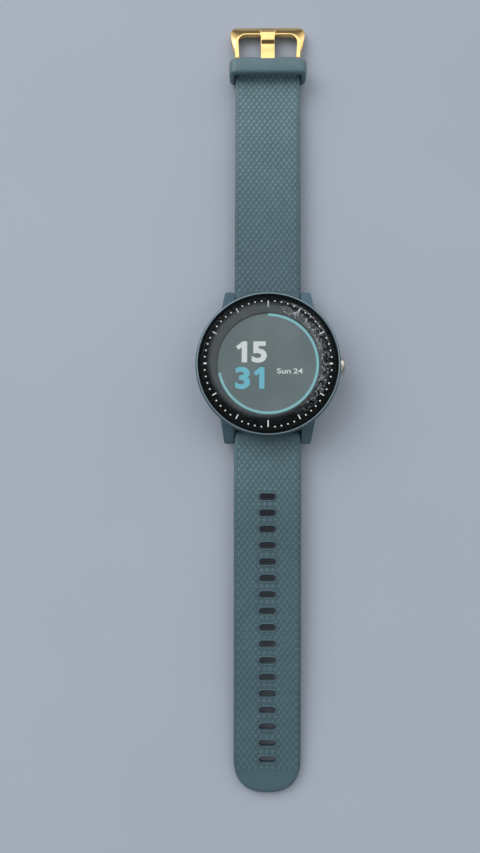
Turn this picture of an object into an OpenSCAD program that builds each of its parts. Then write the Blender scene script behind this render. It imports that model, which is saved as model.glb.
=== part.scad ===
// Round GPS sports watch with a quick-release strap, laid out flat.
// Millimetres, +Z out of the display, +Y towards 12 o'clock, +X towards the button.
// The origin is the centre of the flat sensor window that the head rests on.

/* [Head] */
// Diameter of the head over its bezel
case_d = 43.4; // [42:0.2:54]
// How much smaller the radius is at the bottom of the case than at the bezel
case_taper = 3.4; // [2.6:0.1:3.6]
// Distance from the bezel's edge to the inside of the case
case_wall = 4.1; // [3.8:0.1:5]
// Thickness of the floor ring that the screw posts stand on
floor_t = 0.8; // [0.6:0.1:1.2]
// Height of the bezel ring's foot below the top of the rim
bezel_foot = 0.7; // [0.5:0.1:1.2]
// Radial width of the bezel ring
bezel_w = 0.8; // [0.7:0.05:1.2]
// Height of the glass above the top of the bezel
glass_proud = 0.35; // [0.2:0.05:0.6]
// Thickness of the glass
lens_t = 1.3; // [1.1:0.1:1.8]
// Width of the curved band round the flat of the glass
lens_band = 1.6; // [1.2:0.1:3]
// Thickness of the glued gasket under the glass
gasket_t = 0.2; // [0.1:0.05:0.4]

/* [Inside] */
// Thickness of the display panel
panel_t = 1.7; // [1.3:0.1:2.4]
// Thickness of the display frame's plate
frame_t = 0.8; // [0.6:0.1:1.2]
// Height kept free above the board for its components
chip_room = 1.1; // [1:0.1:2]
// Thickness of the main board
board_t = 0.7; // [0.5:0.1:1.2]
// Thickness of the foam between battery and board
foam_t = 0.6; // [0.4:0.1:1]
// Thickness of the battery
battery_t = 3.1; // [2.6:0.1:5]
// Radius of the vibration motor
motor_r = 4.0; // [3.4:0.1:4.2]
// Height of the vibration motor
motor_h = 2.6; // [2.2:0.1:3.1]
// Radius of the motor's shaft
shaft_r = 0.3; // [0.25:0.05:0.5]
// Radius of the small screws' threads
screw_r = 0.55; // [0.45:0.05:0.6]
// Radius of the screw posts
post_r = 1.55; // [1.3:0.05:1.6]

/* [Rear cover] */
// Height from the sensor window down to the rim of the cover
hump_h = 1.5; // [1.4:0.1:2.2]
// Thickness of the cover's rim
cover_t = 1.1; // [1:0.1:1.6]
// Height of the cover's plug above the floor ring
plug_rise = 0.5; // [0.4:0.1:1]
// Wall of the cover's plug
plug_wall = 1.2; // [1:0.1:1.4]
// Radius of the sensor window
window_r = 8.4; // [7:0.1:8.6]
// Thickness of the sensor window
window_t = 1.2; // [1:0.1:1.3]
// Radius of the charging contacts
contact_r = 0.45; // [0.35:0.05:0.55]

/* [Button] */
// Depth of the button's axis below the main board
button_drop = 1.0; // [0.8:0.1:1.2]
// Radius of the button's cap
button_r = 2.8; // [2.4:0.1:3]
// How far the cap stands out beyond the bezel
button_out = 1.7; // [1.4:0.1:2.4]
// Travel of the button
button_travel = 0.7; // [0.4:0.1:0.7]
// Radius of the button's stem
stem_r = 0.8; // [0.65:0.05:0.9]

/* [Lugs and spring bars] */
// Height of the spring bars' axis
bar_z = 4.1; // [3.9:0.1:4.4]
// Distance of the spring bars' axis inside the bezel's edge
bar_inset = 0.1; // [0:0.1:0.4]
// Radius of the round tip of each lug
lug_tip_r = 1.9; // [1.6:0.05:1.9]
// Thickness of each lug at its tip
lug_tip_w = 3.0; // [2:0.1:3.2]
// Extra thickness of each lug at its base
lug_flare = 0.9; // [0.6:0.1:2]
// Radius of the spring bars' tube
tube_r = 0.85; // [0.8:0.05:1]
// Radius of the spring bars' tips
tip_r = 0.42; // [0.35:0.01:0.5]
// How far the quick-release tip pulls in
release_travel = 1.2; // [1:0.1:1.3]

/* [Strap] */
// Width of the strap between the lugs
strap_w = 20; // [16:0.5:24]
// Extra width of the strap beyond the lugs
strap_flare = 0.5; // [0.2:0.1:0.8]
// Radius of the strap's round ends on the spring bars
boss_r = 2.2; // [2:0.05:2.3]
// Distance from the spring bar to the buckle's pivot
short_len = 77.4; // [68:0.2:96]
// Thickness of the short strap beyond its root
short_t = 2.8; // [2.4:0.1:3.2]
// How far the short strap arches up from the table
short_bow = 0.95; // [0:0.05:1.2]
// Distance from the spring bar to the end of the long strap
long_len = 105.6; // [105:0.2:130]
// Thickness of the long strap beyond its root
long_t = 2.6; // [2.2:0.1:3.2]
// How far the long strap arches up from the table
long_bow = 1.9; // [0:0.05:2.4]
// Length of the long strap's rounded tip
tip_len = 10.5; // [8:0.5:12]
// Number of slots in the long strap
slot_count = 17; // [8:1:17]
// Distance between slots
slot_pitch = 4.85; // [4.2:0.05:5]
// Distance from the spring bar to the first slot
slot_start = 18; // [16:0.5:20]
// Width of each slot across the strap
slot_w = 5.1; // [4.7:0.05:6]
// Length of each slot along the strap
slot_l = 2.0; // [1.6:0.1:2.4]

/* [Keeper] */
// Length of the keeper loop along the strap
keeper_len = 5.0; // [4:0.5:8]
// Height over the keeper loop
keeper_h = 8.5; // [8:0.1:10]
// Thickness of the keeper's sides and top
keeper_wall = 1.7; // [1.2:0.1:2]
// Thickness of the keeper's bottom
keeper_floor = 1.3; // [1:0.1:1.3]

/* [Buckle] */
// Height of the buckle's pivot
pivot_z = 3.0; // [2.9:0.05:3.4]
// Radius of the buckle's pivot bar
pivot_r = 0.75; // [0.6:0.05:0.8]
// Distance from the pivot to the outside of the far bar
buckle_len = 12.3; // [10:0.1:16]
// Width of the far bar along the strap
far_bar_w = 3.1; // [1.8:0.1:3.6]
// Extra width of the buckle over the strap
buckle_extra = 3.7; // [2:0.1:5]
// Thickness of the buckle frame above its pivot plane
buckle_up = 1.2; // [1:0.1:1.4]
// Thickness of the buckle frame below its pivot plane
buckle_down = 1.4; // [1.2:0.1:1.4]
// Width of the tongue
tongue_w = 4.4; // [3.6:0.1:4.6]
// Thickness of the tongue
tongue_t = 0.85; // [0.7:0.05:1]

/* [Hidden] */
$fn = 96;

// Clearances
run_fit = 0.05;      // radial, round pieces that turn or slide in a hole
press_fit = 0.02;    // radial, round pieces that are pressed or screwed in
ease = 0.1;          // small gap round a piece that is glued or dropped in
strap_gap = 0.15;    // strap to lug, and strap end to buckle ear
free_gap = 0.3;      // between pieces that pass each other
room = 0.5;          // between neighbouring pieces inside the case
over = 1;            // how far a cut runs past the face it opens

// Heights, from the sensor window up
z_bottom = hump_h;
z_cover = z_bottom + cover_t;
z_floor = z_cover + floor_t;
z_battery = z_floor + plug_rise;
z_foam = z_battery + battery_t;
z_board = z_foam + foam_t;
z_board_top = z_board + board_t;
z_frame = z_board_top + chip_room;
shelf_drop = 0.5;
z_shelf = z_frame + shelf_drop;
z_panel = z_frame + frame_t;
z_glass = z_panel + panel_t;
z_rim = z_glass - gasket_t;
z_bezel = z_rim - bezel_foot;
z_bezel_top = z_glass + lens_t - glass_proud;

// Radii of the head, from the outside in
case_r = case_d / 2;
belly_r = case_r - 0.15;
bezel_in_r = case_r - bezel_w;
rim_r = bezel_in_r - run_fit;
lens_r = bezel_in_r - ease;
rim_in_r = rim_r - 1.85;
cavity_r = case_r - case_wall;
bottom_r = case_r - case_taper;
rebate_r = bottom_r - 0.9;
cover_r = rebate_r - ease;
post_ring_r = cover_r - 1.4;
post_angle = 58.9;
floor_hole_r = post_ring_r - post_r - press_fit - 0.03;
plug_r = floor_hole_r - ease;
plug_in_r = plug_r - plug_wall;
flange_r = rim_in_r - 0.2;
frame_r = cavity_r - 0.2;
panel_r = cavity_r - 0.6;
board_r = cavity_r - 0.7;
side_steps = 12;

// Screws, shared by the cover and the board
head_r = screw_r + 0.5;
head_h = 0.6;
cover_screw_len = 2.9;
board_screw_len = 1.3;

// Rear cover
hump_flat_r = window_r + 1.6;
hump_foot_r = cover_r - 3.3;
hump_z = 0.2;
cover_floor = z_bottom + 0.7;
opening_r = window_r - 1.9;
oring_r = 0.25;
oring_mid_r = plug_r - 0.17;
z_oring = z_cover + floor_t / 2;
sensor_board_r = window_r + 1.1;
sensor_board_t = 0.7;
port_y = window_r + 3.0;
port_w = 7.0;
port_l = 2.4;
port_depth_z = hump_z + window_t;
contact_pitch = 1.6;

// Lugs and spring bars
bar_y = case_r - bar_inset;
lug_gap = strap_w + 2 * strap_gap;
lug_top = [bar_y - 4, bar_z + 4.9];
lug_root_y = bar_y - 9.6;
groove_r = boss_r + 0.25;
tip_hole_r = tip_r + run_fit;
tip_reach = 0.85;
tip_hole_depth = tip_reach + 0.35;
tube_x = strap_w / 2 - 0.4;
tube_bore_r = tube_r - 0.25;
tube_bore_x = -2;
tube_lip = 0.3;
plunger_r = tube_bore_r - run_fit;
plunger_x = tube_x - 3.6;
knob_x = tube_x - 2.4;
knob_r = plunger_r;
knob_drop = boss_r - 0.2;
release_slot = [knob_x - knob_r - release_travel - ease, knob_x + knob_r + ease];

// Straps
body_w = strap_w + strap_flare;
strap_bore_r = tube_r + 0.07;
shoulder = boss_r + 0.1;
shoulder_run = 0.5;
strap_steps = 28;
root_t = 2 * boss_r;
under_root = bar_z - boss_r;
short_end_r = short_t / 2;
pivot_y = bar_y + short_len;
tab_w = strap_w - 2;
tongue_gap = tongue_w + 0.4;
tongue_slot_depth = 2.1;

// Keeper
keeper_y = pivot_y - short_end_r - 0.2 - keeper_len / 2;
keeper_in_w = body_w + 2 * free_gap;
keeper_w = keeper_in_w + 2 * keeper_wall;
keeper_corner = 2.4;
keeper_in_corner = 0.8;

// Buckle
ear_r = 1.4;
ear_in = tab_w / 2 + strap_gap;
ear_out = body_w / 2 + 0.1;
far_w = strap_w + buckle_extra;
far_in = ear_in + 0.15;
far_corner = 2.0;
arm_start = 1.7;
arm_end = buckle_len - far_bar_w - 1.2;
low_corner = norm([buckle_len, buckle_down]);
buckle_tilt = asin(pivot_z / low_corner) - atan2(buckle_down, buckle_len);
notch_depth = 0.5;
loop_r = ear_r - 0.05;
tongue_rest = buckle_up - notch_depth + ease;
tongue_reach = buckle_len - 0.7;
tongue_dip = 0.25;      // the tongue's low part sinks by this before its step
bar_ridge = 0.5;        // flat ridge on the inside of the far bar
bar_slope = 0.75;       // drop from the ridge to the far bar's outer edge

case_colour = [0.25, 0.37, 0.41];
strap_colour = [0.30, 0.42, 0.46];
gold = [0.80, 0.66, 0.42];
steel = [0.72, 0.73, 0.75];
black = [0.05, 0.05, 0.06];
board_green = [0.08, 0.28, 0.18];

// Shared shapes

// Extrudes a (Y, Z) outline along X, centred on x = 0
module across(width) {
    translate([-width / 2, 0, 0])
        rotate([90, 0, 90])
            linear_extrude(width)
                children();
}

// A round rod along +X
module rod_x(x0, x1, r) {
    translate([x0, 0, 0])
        rotate([0, 90, 0])
            cylinder(h = x1 - x0, r = r);
}

module at_posts() {
    for (sx = [-1, 1], sy = [-1, 1])
        translate([sx * post_ring_r * cos(post_angle), sy * post_ring_r * sin(post_angle), 0])
            children();
}

module disc(r, z0, z1) {
    translate([0, 0, z0])
        cylinder(h = z1 - z0, r = r);
}

module ring(r_out, r_in, z0, z1) {
    difference() {
        disc(r_out, z0, z1);
        disc(r_in, z0 - over, z1 + over);
    }
}

module block(x0, x1, y0, y1, z0, z1) {
    translate([x0, y0, z0])
        cube([x1 - x0, y1 - y0, z1 - z0]);
}

// An outline that runs from x = 0 to x = 0 on the right, closed by its mirror image
function both_sides(right) = concat(right, [for (i = [len(right) - 1:-1:0]) [-right[i].x, right[i].y]]);

// A rectangle with round corners, centred on the origin
module round_rect(w, h, r) {
    square([w - 2 * r, h], center = true);
    square([w, h - 2 * r], center = true);
    for (sx = [-1, 1], sy = [-1, 1])
        translate([sx * (w / 2 - r), sy * (h / 2 - r)])
            circle(r, $fn = 48);
}

// A coil spring along +Z
module helix(mean_r, wire_r, length, turns) {
    sides = 6;
    per_turn = 14;
    n = turns * per_turn;
    points = [
        for (i = [0:n], j = [0:sides - 1])
            let (a = 360 * i / per_turn, b = 360 * j / sides, r = mean_r + wire_r * cos(b))
                [r * cos(a), r * sin(a), wire_r + (length - 2 * wire_r) * i / n + wire_r * sin(b)]
    ];
    walls = [
        for (i = [0:n - 1], j = [0:sides - 1])
            let (k = (j + 1) % sides, p = i * sides, q = p + sides)
                each [[p + j, p + k, q + j], [p + k, q + k, q + j]]
    ];
    first = [for (j = [sides - 1:-1:0]) j];
    last = [for (j = [0:sides - 1]) n * sides + j];
    polyhedron(points, concat(walls, [first, last]));
}

// Case

function lug_tangent() =
    let (d = lug_top - [bar_y, bar_z], a = atan2(d.y, d.x) - acos(lug_tip_r / norm(d)))
        [bar_y + lug_tip_r * cos(a), bar_z + lug_tip_r * sin(a)];

module lug_side() {
    translate([bar_y, bar_z])
        circle(lug_tip_r);
    polygon([
        [lug_root_y, bar_z - lug_tip_r], [bar_y, bar_z - lug_tip_r],
        lug_tangent(), lug_top, [lug_root_y, lug_top.y]
    ]);
}

module lug_plan() {
    inner = lug_gap / 2;
    tip = inner + lug_tip_w;
    base = tip + lug_flare;
    for (side = [0, 1])
        mirror([side, 0])
            polygon([
                [inner, lug_root_y], [base, lug_root_y], [base, lug_top.x],
                [tip, bar_y + lug_tip_r], [inner, bar_y + lug_tip_r]
            ]);
}

module lugs() {
    for (end = [0, 1])
        mirror([0, end, 0])
            intersection() {
                across(case_d)
                    lug_side();
                linear_extrude(z_rim)
                    lug_plan();
            }
}

module case_outline() {
    side = [
        for (i = [0:side_steps])
            let (u = i / side_steps)
                [bottom_r + (belly_r - bottom_r) * sin(90 * u), z_bottom + (z_bezel - z_bottom) * u]
    ];
    polygon(concat([[0, z_bottom]], side, [[rim_r, z_bezel], [rim_r, z_rim], [0, z_rim]]));
}

module case_inside() {
    disc(rebate_r, z_bottom - over, z_cover);
    disc(floor_hole_r, z_bottom, z_shelf);
    disc(cavity_r, z_floor, z_shelf);
    disc(rim_in_r, z_shelf, z_rim + over);
}

module bar_grooves() {
    for (end = [-1, 1])
        translate([0, end * bar_y, bar_z]) {
            rod_x(-lug_gap / 2, lug_gap / 2, groove_r);
            rod_x(-lug_gap / 2 - tip_hole_depth, lug_gap / 2 + tip_hole_depth, tip_hole_r);
        }
}

// Where the button's parts lie
button_z = z_board - button_drop;
button_face = case_r + button_out;
cap_back = button_face - 2.3;
housing_face = case_r - 0.4;
recess_x = cap_back - button_travel - ease;
pocket_x = recess_x - 1.5;
inner_face = cavity_r - 0.6;
clip_x = inner_face - run_fit;
clip_t = 0.3;
clip_r = stem_r + 0.7;
stem_end = clip_x - 1.35;
switch_x = stem_end - button_travel - free_gap;

module button_housing() {
    translate([0, 0, button_z])
        rod_x(cavity_r, housing_face, button_r + 0.8);
}

module button_inner_boss() {
    translate([0, 0, button_z])
        rod_x(inner_face, cavity_r + 0.4, stem_r + 1.6);
}

module button_bores() {
    translate([0, 0, button_z]) {
        rod_x(inner_face - over, button_face, stem_r + run_fit);
        rod_x(recess_x, button_face, button_r + 0.2);
        difference() {
            rod_x(pocket_x, recess_x + ease, stem_r + 1.5);
            rod_x(pocket_x, recess_x + ease, stem_r + 0.5);
        }
    }
}

module case_body() {
    color(case_colour)
        difference() {
            union() {
                difference() {
                    union() {
                        rotate_extrude($fn = 180)
                            case_outline();
                        lugs();
                        button_housing();
                    }
                    case_inside();
                }
                at_posts()
                    disc(post_r, z_floor - floor_t / 2, z_board);
                button_inner_boss();
            }
            at_posts() {
                disc(screw_r + press_fit, z_bottom - over, z_cover + cover_screw_len);
                disc(screw_r + press_fit, z_board - board_screw_len - 0.2, z_board + over);
            }
            bar_grooves();
            button_bores();
        }
}

module bezel_ring() {
    color(case_colour)
        rotate_extrude($fn = 180)
            polygon([
                [bezel_in_r, z_bezel], [case_r, z_bezel], [case_r, z_rim],
                [case_r - 0.35, z_bezel_top - 0.15], [case_r - 0.5, z_bezel_top], [bezel_in_r, z_bezel_top]
            ]);
}

// Glass and display

module lens() {
    flat_r = lens_r - lens_band;
    color([0.04, 0.04, 0.05])
        rotate_extrude($fn = 180)
            polygon([
                [0, z_glass], [lens_r, z_glass], [lens_r, z_glass + 0.4 * lens_t],
                [lens_r - 0.2 * lens_band, z_glass + 0.7 * lens_t],
                [lens_r - 0.55 * lens_band, z_glass + 0.89 * lens_t],
                [flat_r, z_glass + lens_t], [0, z_glass + lens_t]
            ]);
}

module lens_gasket() {
    color(black)
        ring(lens_r - 0.05, rim_in_r + 0.2, z_rim, z_glass);
}

module display_panel() {
    color([0.1, 0.12, 0.12])
        disc(panel_r, z_panel, z_glass);
}

module display_frame() {
    peg_r = 1.2;
    color("dimgray")
        union() {
            rotate_extrude($fn = 180)
                polygon([
                    [0, z_frame], [frame_r, z_frame], [frame_r, z_shelf], [flange_r, z_shelf],
                    [flange_r, z_shelf + 0.7], [panel_r + 0.2, z_shelf + 0.7],
                    [panel_r + 0.2, z_panel], [0, z_panel]
                ]);
            for (a = [90, 210, 330])
                rotate(a)
                    translate([board_r - 3.4, 0, 0])
                        disc(peg_r, z_board_top, z_frame + 0.1);
        }
}

module gps_antenna() {
    arc = 220;
    color("goldenrod")
        rotate(180 - arc / 2)
            rotate_extrude(angle = arc, $fn = 180)
                translate([panel_r + 0.7, z_shelf + 0.7])
                    square([0.9, 0.6]);
}

// Board and what stands on it

module main_board() {
    color(board_green)
        difference() {
            disc(board_r, z_board, z_board_top);
            block(switch_x + 0.1, case_r, -clip_r - 1.5, clip_r + 1.5, z_board - over, z_board_top + over);
            at_posts()
                disc(screw_r + ease, z_board - over, z_board_top + over);
        }
}

chip_h = 0.9;

module board_chips() {
    sizes = [[6, 5], [3, 3], [4, 2.4], [2.4, 2.4], [5, 3]];
    places = [[7, 4], [12.2, 2.5], [5.5, -3], [-3, -9], [3.2, -9]];
    color("darkslategray")
        for (i = [0:len(sizes) - 1])
            translate([places[i].x, places[i].y, z_board_top])
                linear_extrude(chip_h - 0.1)
                    square(sizes[i], center = true);
}

module shield_can() {
    wall = 0.2;
    w = 11;
    h = 12;
    color(steel)
        translate([-4.5, 2, z_board_top])
            difference() {
                linear_extrude(chip_h)
                    square([w, h], center = true);
                translate([0, 0, -over])
                    linear_extrude(chip_h - wall + over)
                        square([w - 2 * wall, h - 2 * wall], center = true);
            }
}

// A small screw along +Z whose head sits on z = 0, with a hexagon socket in its head
module small_screw(length) {
    difference() {
        union() {
            disc(head_r, 0, head_h);
            disc(screw_r, -length, 0.1);
        }
        translate([0, 0, head_h - 0.35])
            cylinder(h = over, r = 0.45, $fn = 6);
    }
}

module board_screws() {
    color(steel)
        at_posts()
            translate([0, 0, z_board_top])
                small_screw(board_t + board_screw_len);
}

// Where the battery's edges lie
battery_y = post_ring_r * sin(post_angle) - post_r - room;
battery_x0 = -sqrt(pow(cavity_r - 0.4, 2) - pow(battery_y, 2));
motor_at = [board_r - motor_r - 1.7, -7.2];
battery_x1 = motor_at.x - motor_r - 0.8;

module battery() {
    color("silver")
        block(battery_x0, battery_x1, -battery_y, battery_y, z_battery, z_foam);
}

module battery_foam() {
    inset = 2;
    color(black)
        block(battery_x0 + inset, battery_x1 - inset, inset - battery_y, battery_y - inset, z_foam, z_board);
}

// Vibration motor

can_wall = 0.25;

module motor_can() {
    color(steel)
        translate([motor_at.x, motor_at.y, z_battery])
            union() {
                difference() {
                    disc(motor_r, 0, motor_h);
                    disc(motor_r - can_wall, can_wall, motor_h - can_wall);
                }
                disc(shaft_r, can_wall / 2, motor_h - can_wall / 2);
            }
}

module motor_weight() {
    sweep_r = motor_r - can_wall - free_gap;
    hub_r = shaft_r + 0.5;
    low = can_wall + free_gap;
    high = motor_h - can_wall - free_gap;
    color("gray")
        translate([motor_at.x, motor_at.y, z_battery])
            difference() {
                union() {
                    rotate(180)
                        translate([0, 0, low])
                            rotate_extrude(angle = 180)
                                square([sweep_r, high - low]);
                    disc(hub_r, low, high);
                }
                disc(shaft_r + run_fit, low - over, high + over);
            }
}

// Rear cover and sensor

module cover_outline() {
    polygon([
        [opening_r, port_depth_z - hump_z], [window_r + run_fit, port_depth_z - hump_z],
        [window_r + run_fit, hump_z], [hump_flat_r, hump_z], [hump_foot_r, z_bottom - 0.2],
        [cover_r, z_bottom], [cover_r, z_cover], [plug_r, z_cover], [plug_r, z_battery],
        [plug_in_r, z_battery], [plug_in_r, cover_floor], [opening_r, cover_floor]
    ]);
}

module at_contacts() {
    for (i = [-1.5:1:1.5])
        translate([i * contact_pitch, -port_y, 0])
            children();
}

module rear_cover() {
    color("dimgray")
        difference() {
            rotate_extrude($fn = 180)
                cover_outline();
            ring(plug_r + over, oring_mid_r - oring_r - 0.03, z_oring - oring_r - 0.03, z_oring + oring_r + 0.03);
            block(-port_w / 2, port_w / 2, -port_y - port_l / 2, port_l / 2 - port_y, -over, port_depth_z);
            at_contacts()
                disc(contact_r + press_fit, 0, z_cover);
            at_posts() {
                disc(screw_r + ease, 0, z_cover + over);
                disc(head_r + ease, 0, z_bottom + head_h);
            }
        }
}

module rear_gasket() {
    color(black)
        translate([0, 0, z_oring])
            rotate_extrude($fn = 180)
                translate([oring_mid_r, 0])
                    circle(oring_r, $fn = 32);
}

module cover_screws() {
    color(steel)
        at_posts()
            translate([0, 0, z_bottom + head_h])
                mirror([0, 0, 1])
                    small_screw(cover_t - head_h + cover_screw_len - 0.2);
}

module sensor_window() {
    color([0.06, 0.06, 0.07])
        disc(window_r, 0, window_t);
}

module sensor_board() {
    color(board_green)
        disc(sensor_board_r, cover_floor, cover_floor + sensor_board_t);
}

module sensor_leds() {
    spot = 3.6;
    color("white")
        union() {
            for (a = [0, 120, 240])
                rotate(a)
                    translate([spot, 0, cover_floor - 0.7])
                        linear_extrude(0.7)
                            square([1.6, 2], center = true);
            disc(1, cover_floor - 0.7, cover_floor);
        }
}

module sensor_flex() {
    t = 0.15;
    z0 = cover_floor + sensor_board_t;
    y0 = sensor_board_r - 1.5;
    y1 = plug_in_r - 0.6;
    color("orange")
        across(3)
            polygon([[y0, z0], [y1, z0], [y1, z_board], [y1 - t, z_board], [y1 - t, z0 + t], [y0, z0 + t]]);
}

module charge_contacts() {
    color(gold)
        at_contacts()
            disc(contact_r, port_depth_z - 0.4, cover_floor + 0.8);
}

module contact_block() {
    color(black)
        difference() {
            block(
                0.1 - port_w / 2, port_w / 2 - 0.1, 0.2 - port_y - port_l / 2, port_l / 2 - port_y - 0.2,
                cover_floor, cover_floor + 0.6
            );
            at_contacts()
                disc(contact_r + press_fit, z_bottom, z_battery);
        }
}

// Button

oring_pitch = 1.2;
oring_x = pocket_x - 0.8;
stem_oring_r = 0.22;
stem_oring_mid_r = stem_r + run_fit - stem_oring_r - 0.01;

module button_cap() {
    color(steel)
        translate([0, 0, button_z])
            difference() {
                rotate([0, 90, 0])
                    rotate_extrude()
                        polygon([
                            [0, cap_back], [button_r, cap_back], [button_r, button_face - 0.5],
                            [button_r - 0.3, button_face - 0.1], [button_r - 0.6, button_face], [0, button_face]
                        ]);
                rod_x(cap_back - over, button_face - 1.1, stem_r + press_fit);
            }
}

module button_stem() {
    color(steel)
        translate([0, 0, button_z])
            difference() {
                rod_x(stem_end, button_face - 1.1, stem_r);
                for (i = [0, 1])
                    difference() {
                        rod_x(oring_x + i * oring_pitch - 0.25, oring_x + i * oring_pitch + 0.25, stem_r + over);
                        rod_x(stem_end, button_face, stem_oring_mid_r - stem_oring_r - 0.01);
                    }
                difference() {
                    rod_x(clip_x - clip_t, clip_x, stem_r + over);
                    rod_x(stem_end, button_face, stem_r - 0.25);
                }
            }
}

module button_orings() {
    color(black)
        for (i = [0, 1])
            translate([oring_x + i * oring_pitch, 0, button_z])
                rotate([0, 90, 0])
                    rotate_extrude()
                        translate([stem_oring_mid_r, 0])
                            circle(stem_oring_r, $fn = 32);
}

module button_clip() {
    color(steel)
        translate([0, 0, button_z])
            difference() {
                rod_x(clip_x - clip_t, clip_x, clip_r);
                rod_x(clip_x - over, clip_x + over, stem_r - 0.25 + press_fit);
                translate([clip_x - over, -stem_r * 0.6, -clip_r - over])
                    cube([2 * over, stem_r * 1.2, clip_r + over]);
            }
}

module button_spring() {
    color(steel)
        translate([pocket_x, 0, button_z])
            rotate([0, 90, 0])
                helix(stem_r + 1, 0.16, cap_back - pocket_x, 4);
}

switch_h = 2.0;
switch_w = 4.4;
switch_len = 2.2;
switch_rod_r = 0.6;
plunger_hold = 1.1;

module switch_body() {
    color(black)
        translate([0, 0, button_z])
            difference() {
                block(switch_x - switch_len, switch_x, -switch_w / 2, switch_w / 2, button_drop - switch_h, button_drop);
                rod_x(switch_x - button_travel - plunger_hold - ease, switch_x + over, switch_rod_r + run_fit);
            }
}

module switch_plunger() {
    color("ivory")
        translate([0, 0, button_z])
            rod_x(switch_x - plunger_hold, stem_end - run_fit, switch_rod_r);
}

// Spring bars, drawn on the x axis and carried inside each strap's root

module bar_tube() {
    difference() {
        union() {
            rod_x(-tube_x, tube_x, tube_r);
            rod_x(-lug_gap / 2 - tip_reach, 0, tip_r);
        }
        rod_x(tube_bore_x, tube_x - tube_lip, tube_bore_r);
        rod_x(0, tube_x + over, tip_r + run_fit);
        translate([release_slot[0], -knob_r - ease, -tube_r - over])
            cube([release_slot[1] - release_slot[0], 2 * (knob_r + ease), tube_r + over]);
    }
}

module bar_plunger() {
    union() {
        rod_x(plunger_x, tube_x - tube_lip - run_fit, plunger_r);
        rod_x(plunger_x, lug_gap / 2 + tip_reach, tip_r);
        translate([knob_x, 0, 0])
            disc(knob_r, -knob_drop, 0);
    }
}

module bar_spring() {
    wire = 0.07;
    translate([tube_bore_x, 0, 0])
        rotate([0, 90, 0])
            helix(tube_bore_r - wire - run_fit, wire, plunger_x - tube_bore_x, 9);
}

module at_bar(end) {
    translate([0, end * bar_y, bar_z])
        children();
}

module upper_bar_tube() {
    color(steel)
        at_bar(1)
            bar_tube();
}

module upper_bar_plunger() {
    color(steel)
        at_bar(1)
            bar_plunger();
}

module upper_bar_spring() {
    color(steel)
        at_bar(1)
            bar_spring();
}

module lower_bar_tube() {
    color(steel)
        at_bar(-1)
            bar_tube();
}

module lower_bar_plunger() {
    color(steel)
        at_bar(-1)
            bar_plunger();
}

module lower_bar_spring() {
    color(steel)
        at_bar(-1)
            bar_spring();
}

// Straps, each drawn towards +Y from its spring bar at y = bar_y

function under(u, end_z, bow) = under_root + (end_z - under_root) * u + 4 * bow * u * (1 - u);
function thick(u, t) = t + (root_t - t) * pow(1 - u, 6);

module strap_side(length, end_z, bow, t) {
    steps = [0:strap_steps];
    low = [for (i = steps) let (u = i / strap_steps) [length * u, under(u, end_z, bow)]];
    high = [for (p = low) [p.x, p.y + thick(p.x / length, t)]];
    translate([bar_y, bar_z])
        circle(boss_r);
    translate([bar_y, 0])
        polygon([
            for (i = steps) low[i],
            for (i = steps) high[strap_steps - i]
        ]);
}

// The strap's bore for its spring bar, and the recess for the release knob
module strap_root_cuts() {
    translate([0, bar_y, bar_z]) {
        rod_x(-strap_w, strap_w, strap_bore_r);
        translate([release_slot[0] - free_gap, -1, -boss_r - over])
            cube([release_slot[1] - release_slot[0] + 2 * free_gap, 2, boss_r + over]);
    }
}

module short_plan() {
    shoulder_y = pivot_y - short_end_r - free_gap;
    polygon(both_sides([
        [strap_w / 2, bar_y - boss_r], [strap_w / 2, bar_y + shoulder],
        [body_w / 2, bar_y + shoulder + shoulder_run], [body_w / 2, shoulder_y - 0.5],
        [body_w / 2 - 0.5, shoulder_y], [tab_w / 2, shoulder_y], [tab_w / 2, pivot_y + short_end_r]
    ]));
}

module short_strap() {
    color(strap_colour)
        difference() {
            intersection() {
                across(body_w)
                    union() {
                        strap_side(short_len, pivot_z - short_end_r, short_bow, short_t);
                        translate([pivot_y, pivot_z])
                            circle(short_end_r);
                    }
                linear_extrude(z_rim)
                    short_plan();
            }
            strap_root_cuts();
            translate([0, pivot_y, pivot_z])
                rod_x(-strap_w, strap_w, pivot_r + run_fit);
            block(
                -tongue_gap / 2, tongue_gap / 2, pivot_y - tongue_slot_depth, pivot_y + short_end_r + over,
                -over, z_rim
            );
        }
}

// Half widths of the long strap's rounded tip, a superellipse
tip_steps = 16;
tip_power = 2.5;
function tip_curve(a) = [
    strap_w / 2 * pow(cos(a), 2 / tip_power),
    bar_y + long_len - tip_len + tip_len * pow(sin(a), 2 / tip_power)
];

module long_plan() {
    polygon(both_sides(concat(
        [
            [strap_w / 2, bar_y - boss_r], [strap_w / 2, bar_y + shoulder],
            [body_w / 2, bar_y + shoulder + shoulder_run]
        ],
        [for (i = [0:tip_steps - 1]) tip_curve(90 * i / tip_steps)],
        [[strap_w / 16, bar_y + long_len]]
    )));
}

module slot_plan() {
    reach = (slot_w - slot_l) / 2;
    square([2 * reach, slot_l], center = true);
    for (side = [-1, 1])
        translate([side * reach, 0])
            circle(slot_l / 2, $fn = 32);
}

module long_strap() {
    color(strap_colour)
        mirror([0, 1, 0])
            difference() {
                intersection() {
                    across(body_w)
                        strap_side(long_len, 0, long_bow, long_t);
                    linear_extrude(z_rim)
                        long_plan();
                }
                strap_root_cuts();
                for (i = [0:slot_count - 1])
                    translate([0, bar_y + slot_start + i * slot_pitch, -over])
                        linear_extrude(z_rim)
                            slot_plan();
            }
}

// Keeper loop

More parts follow.
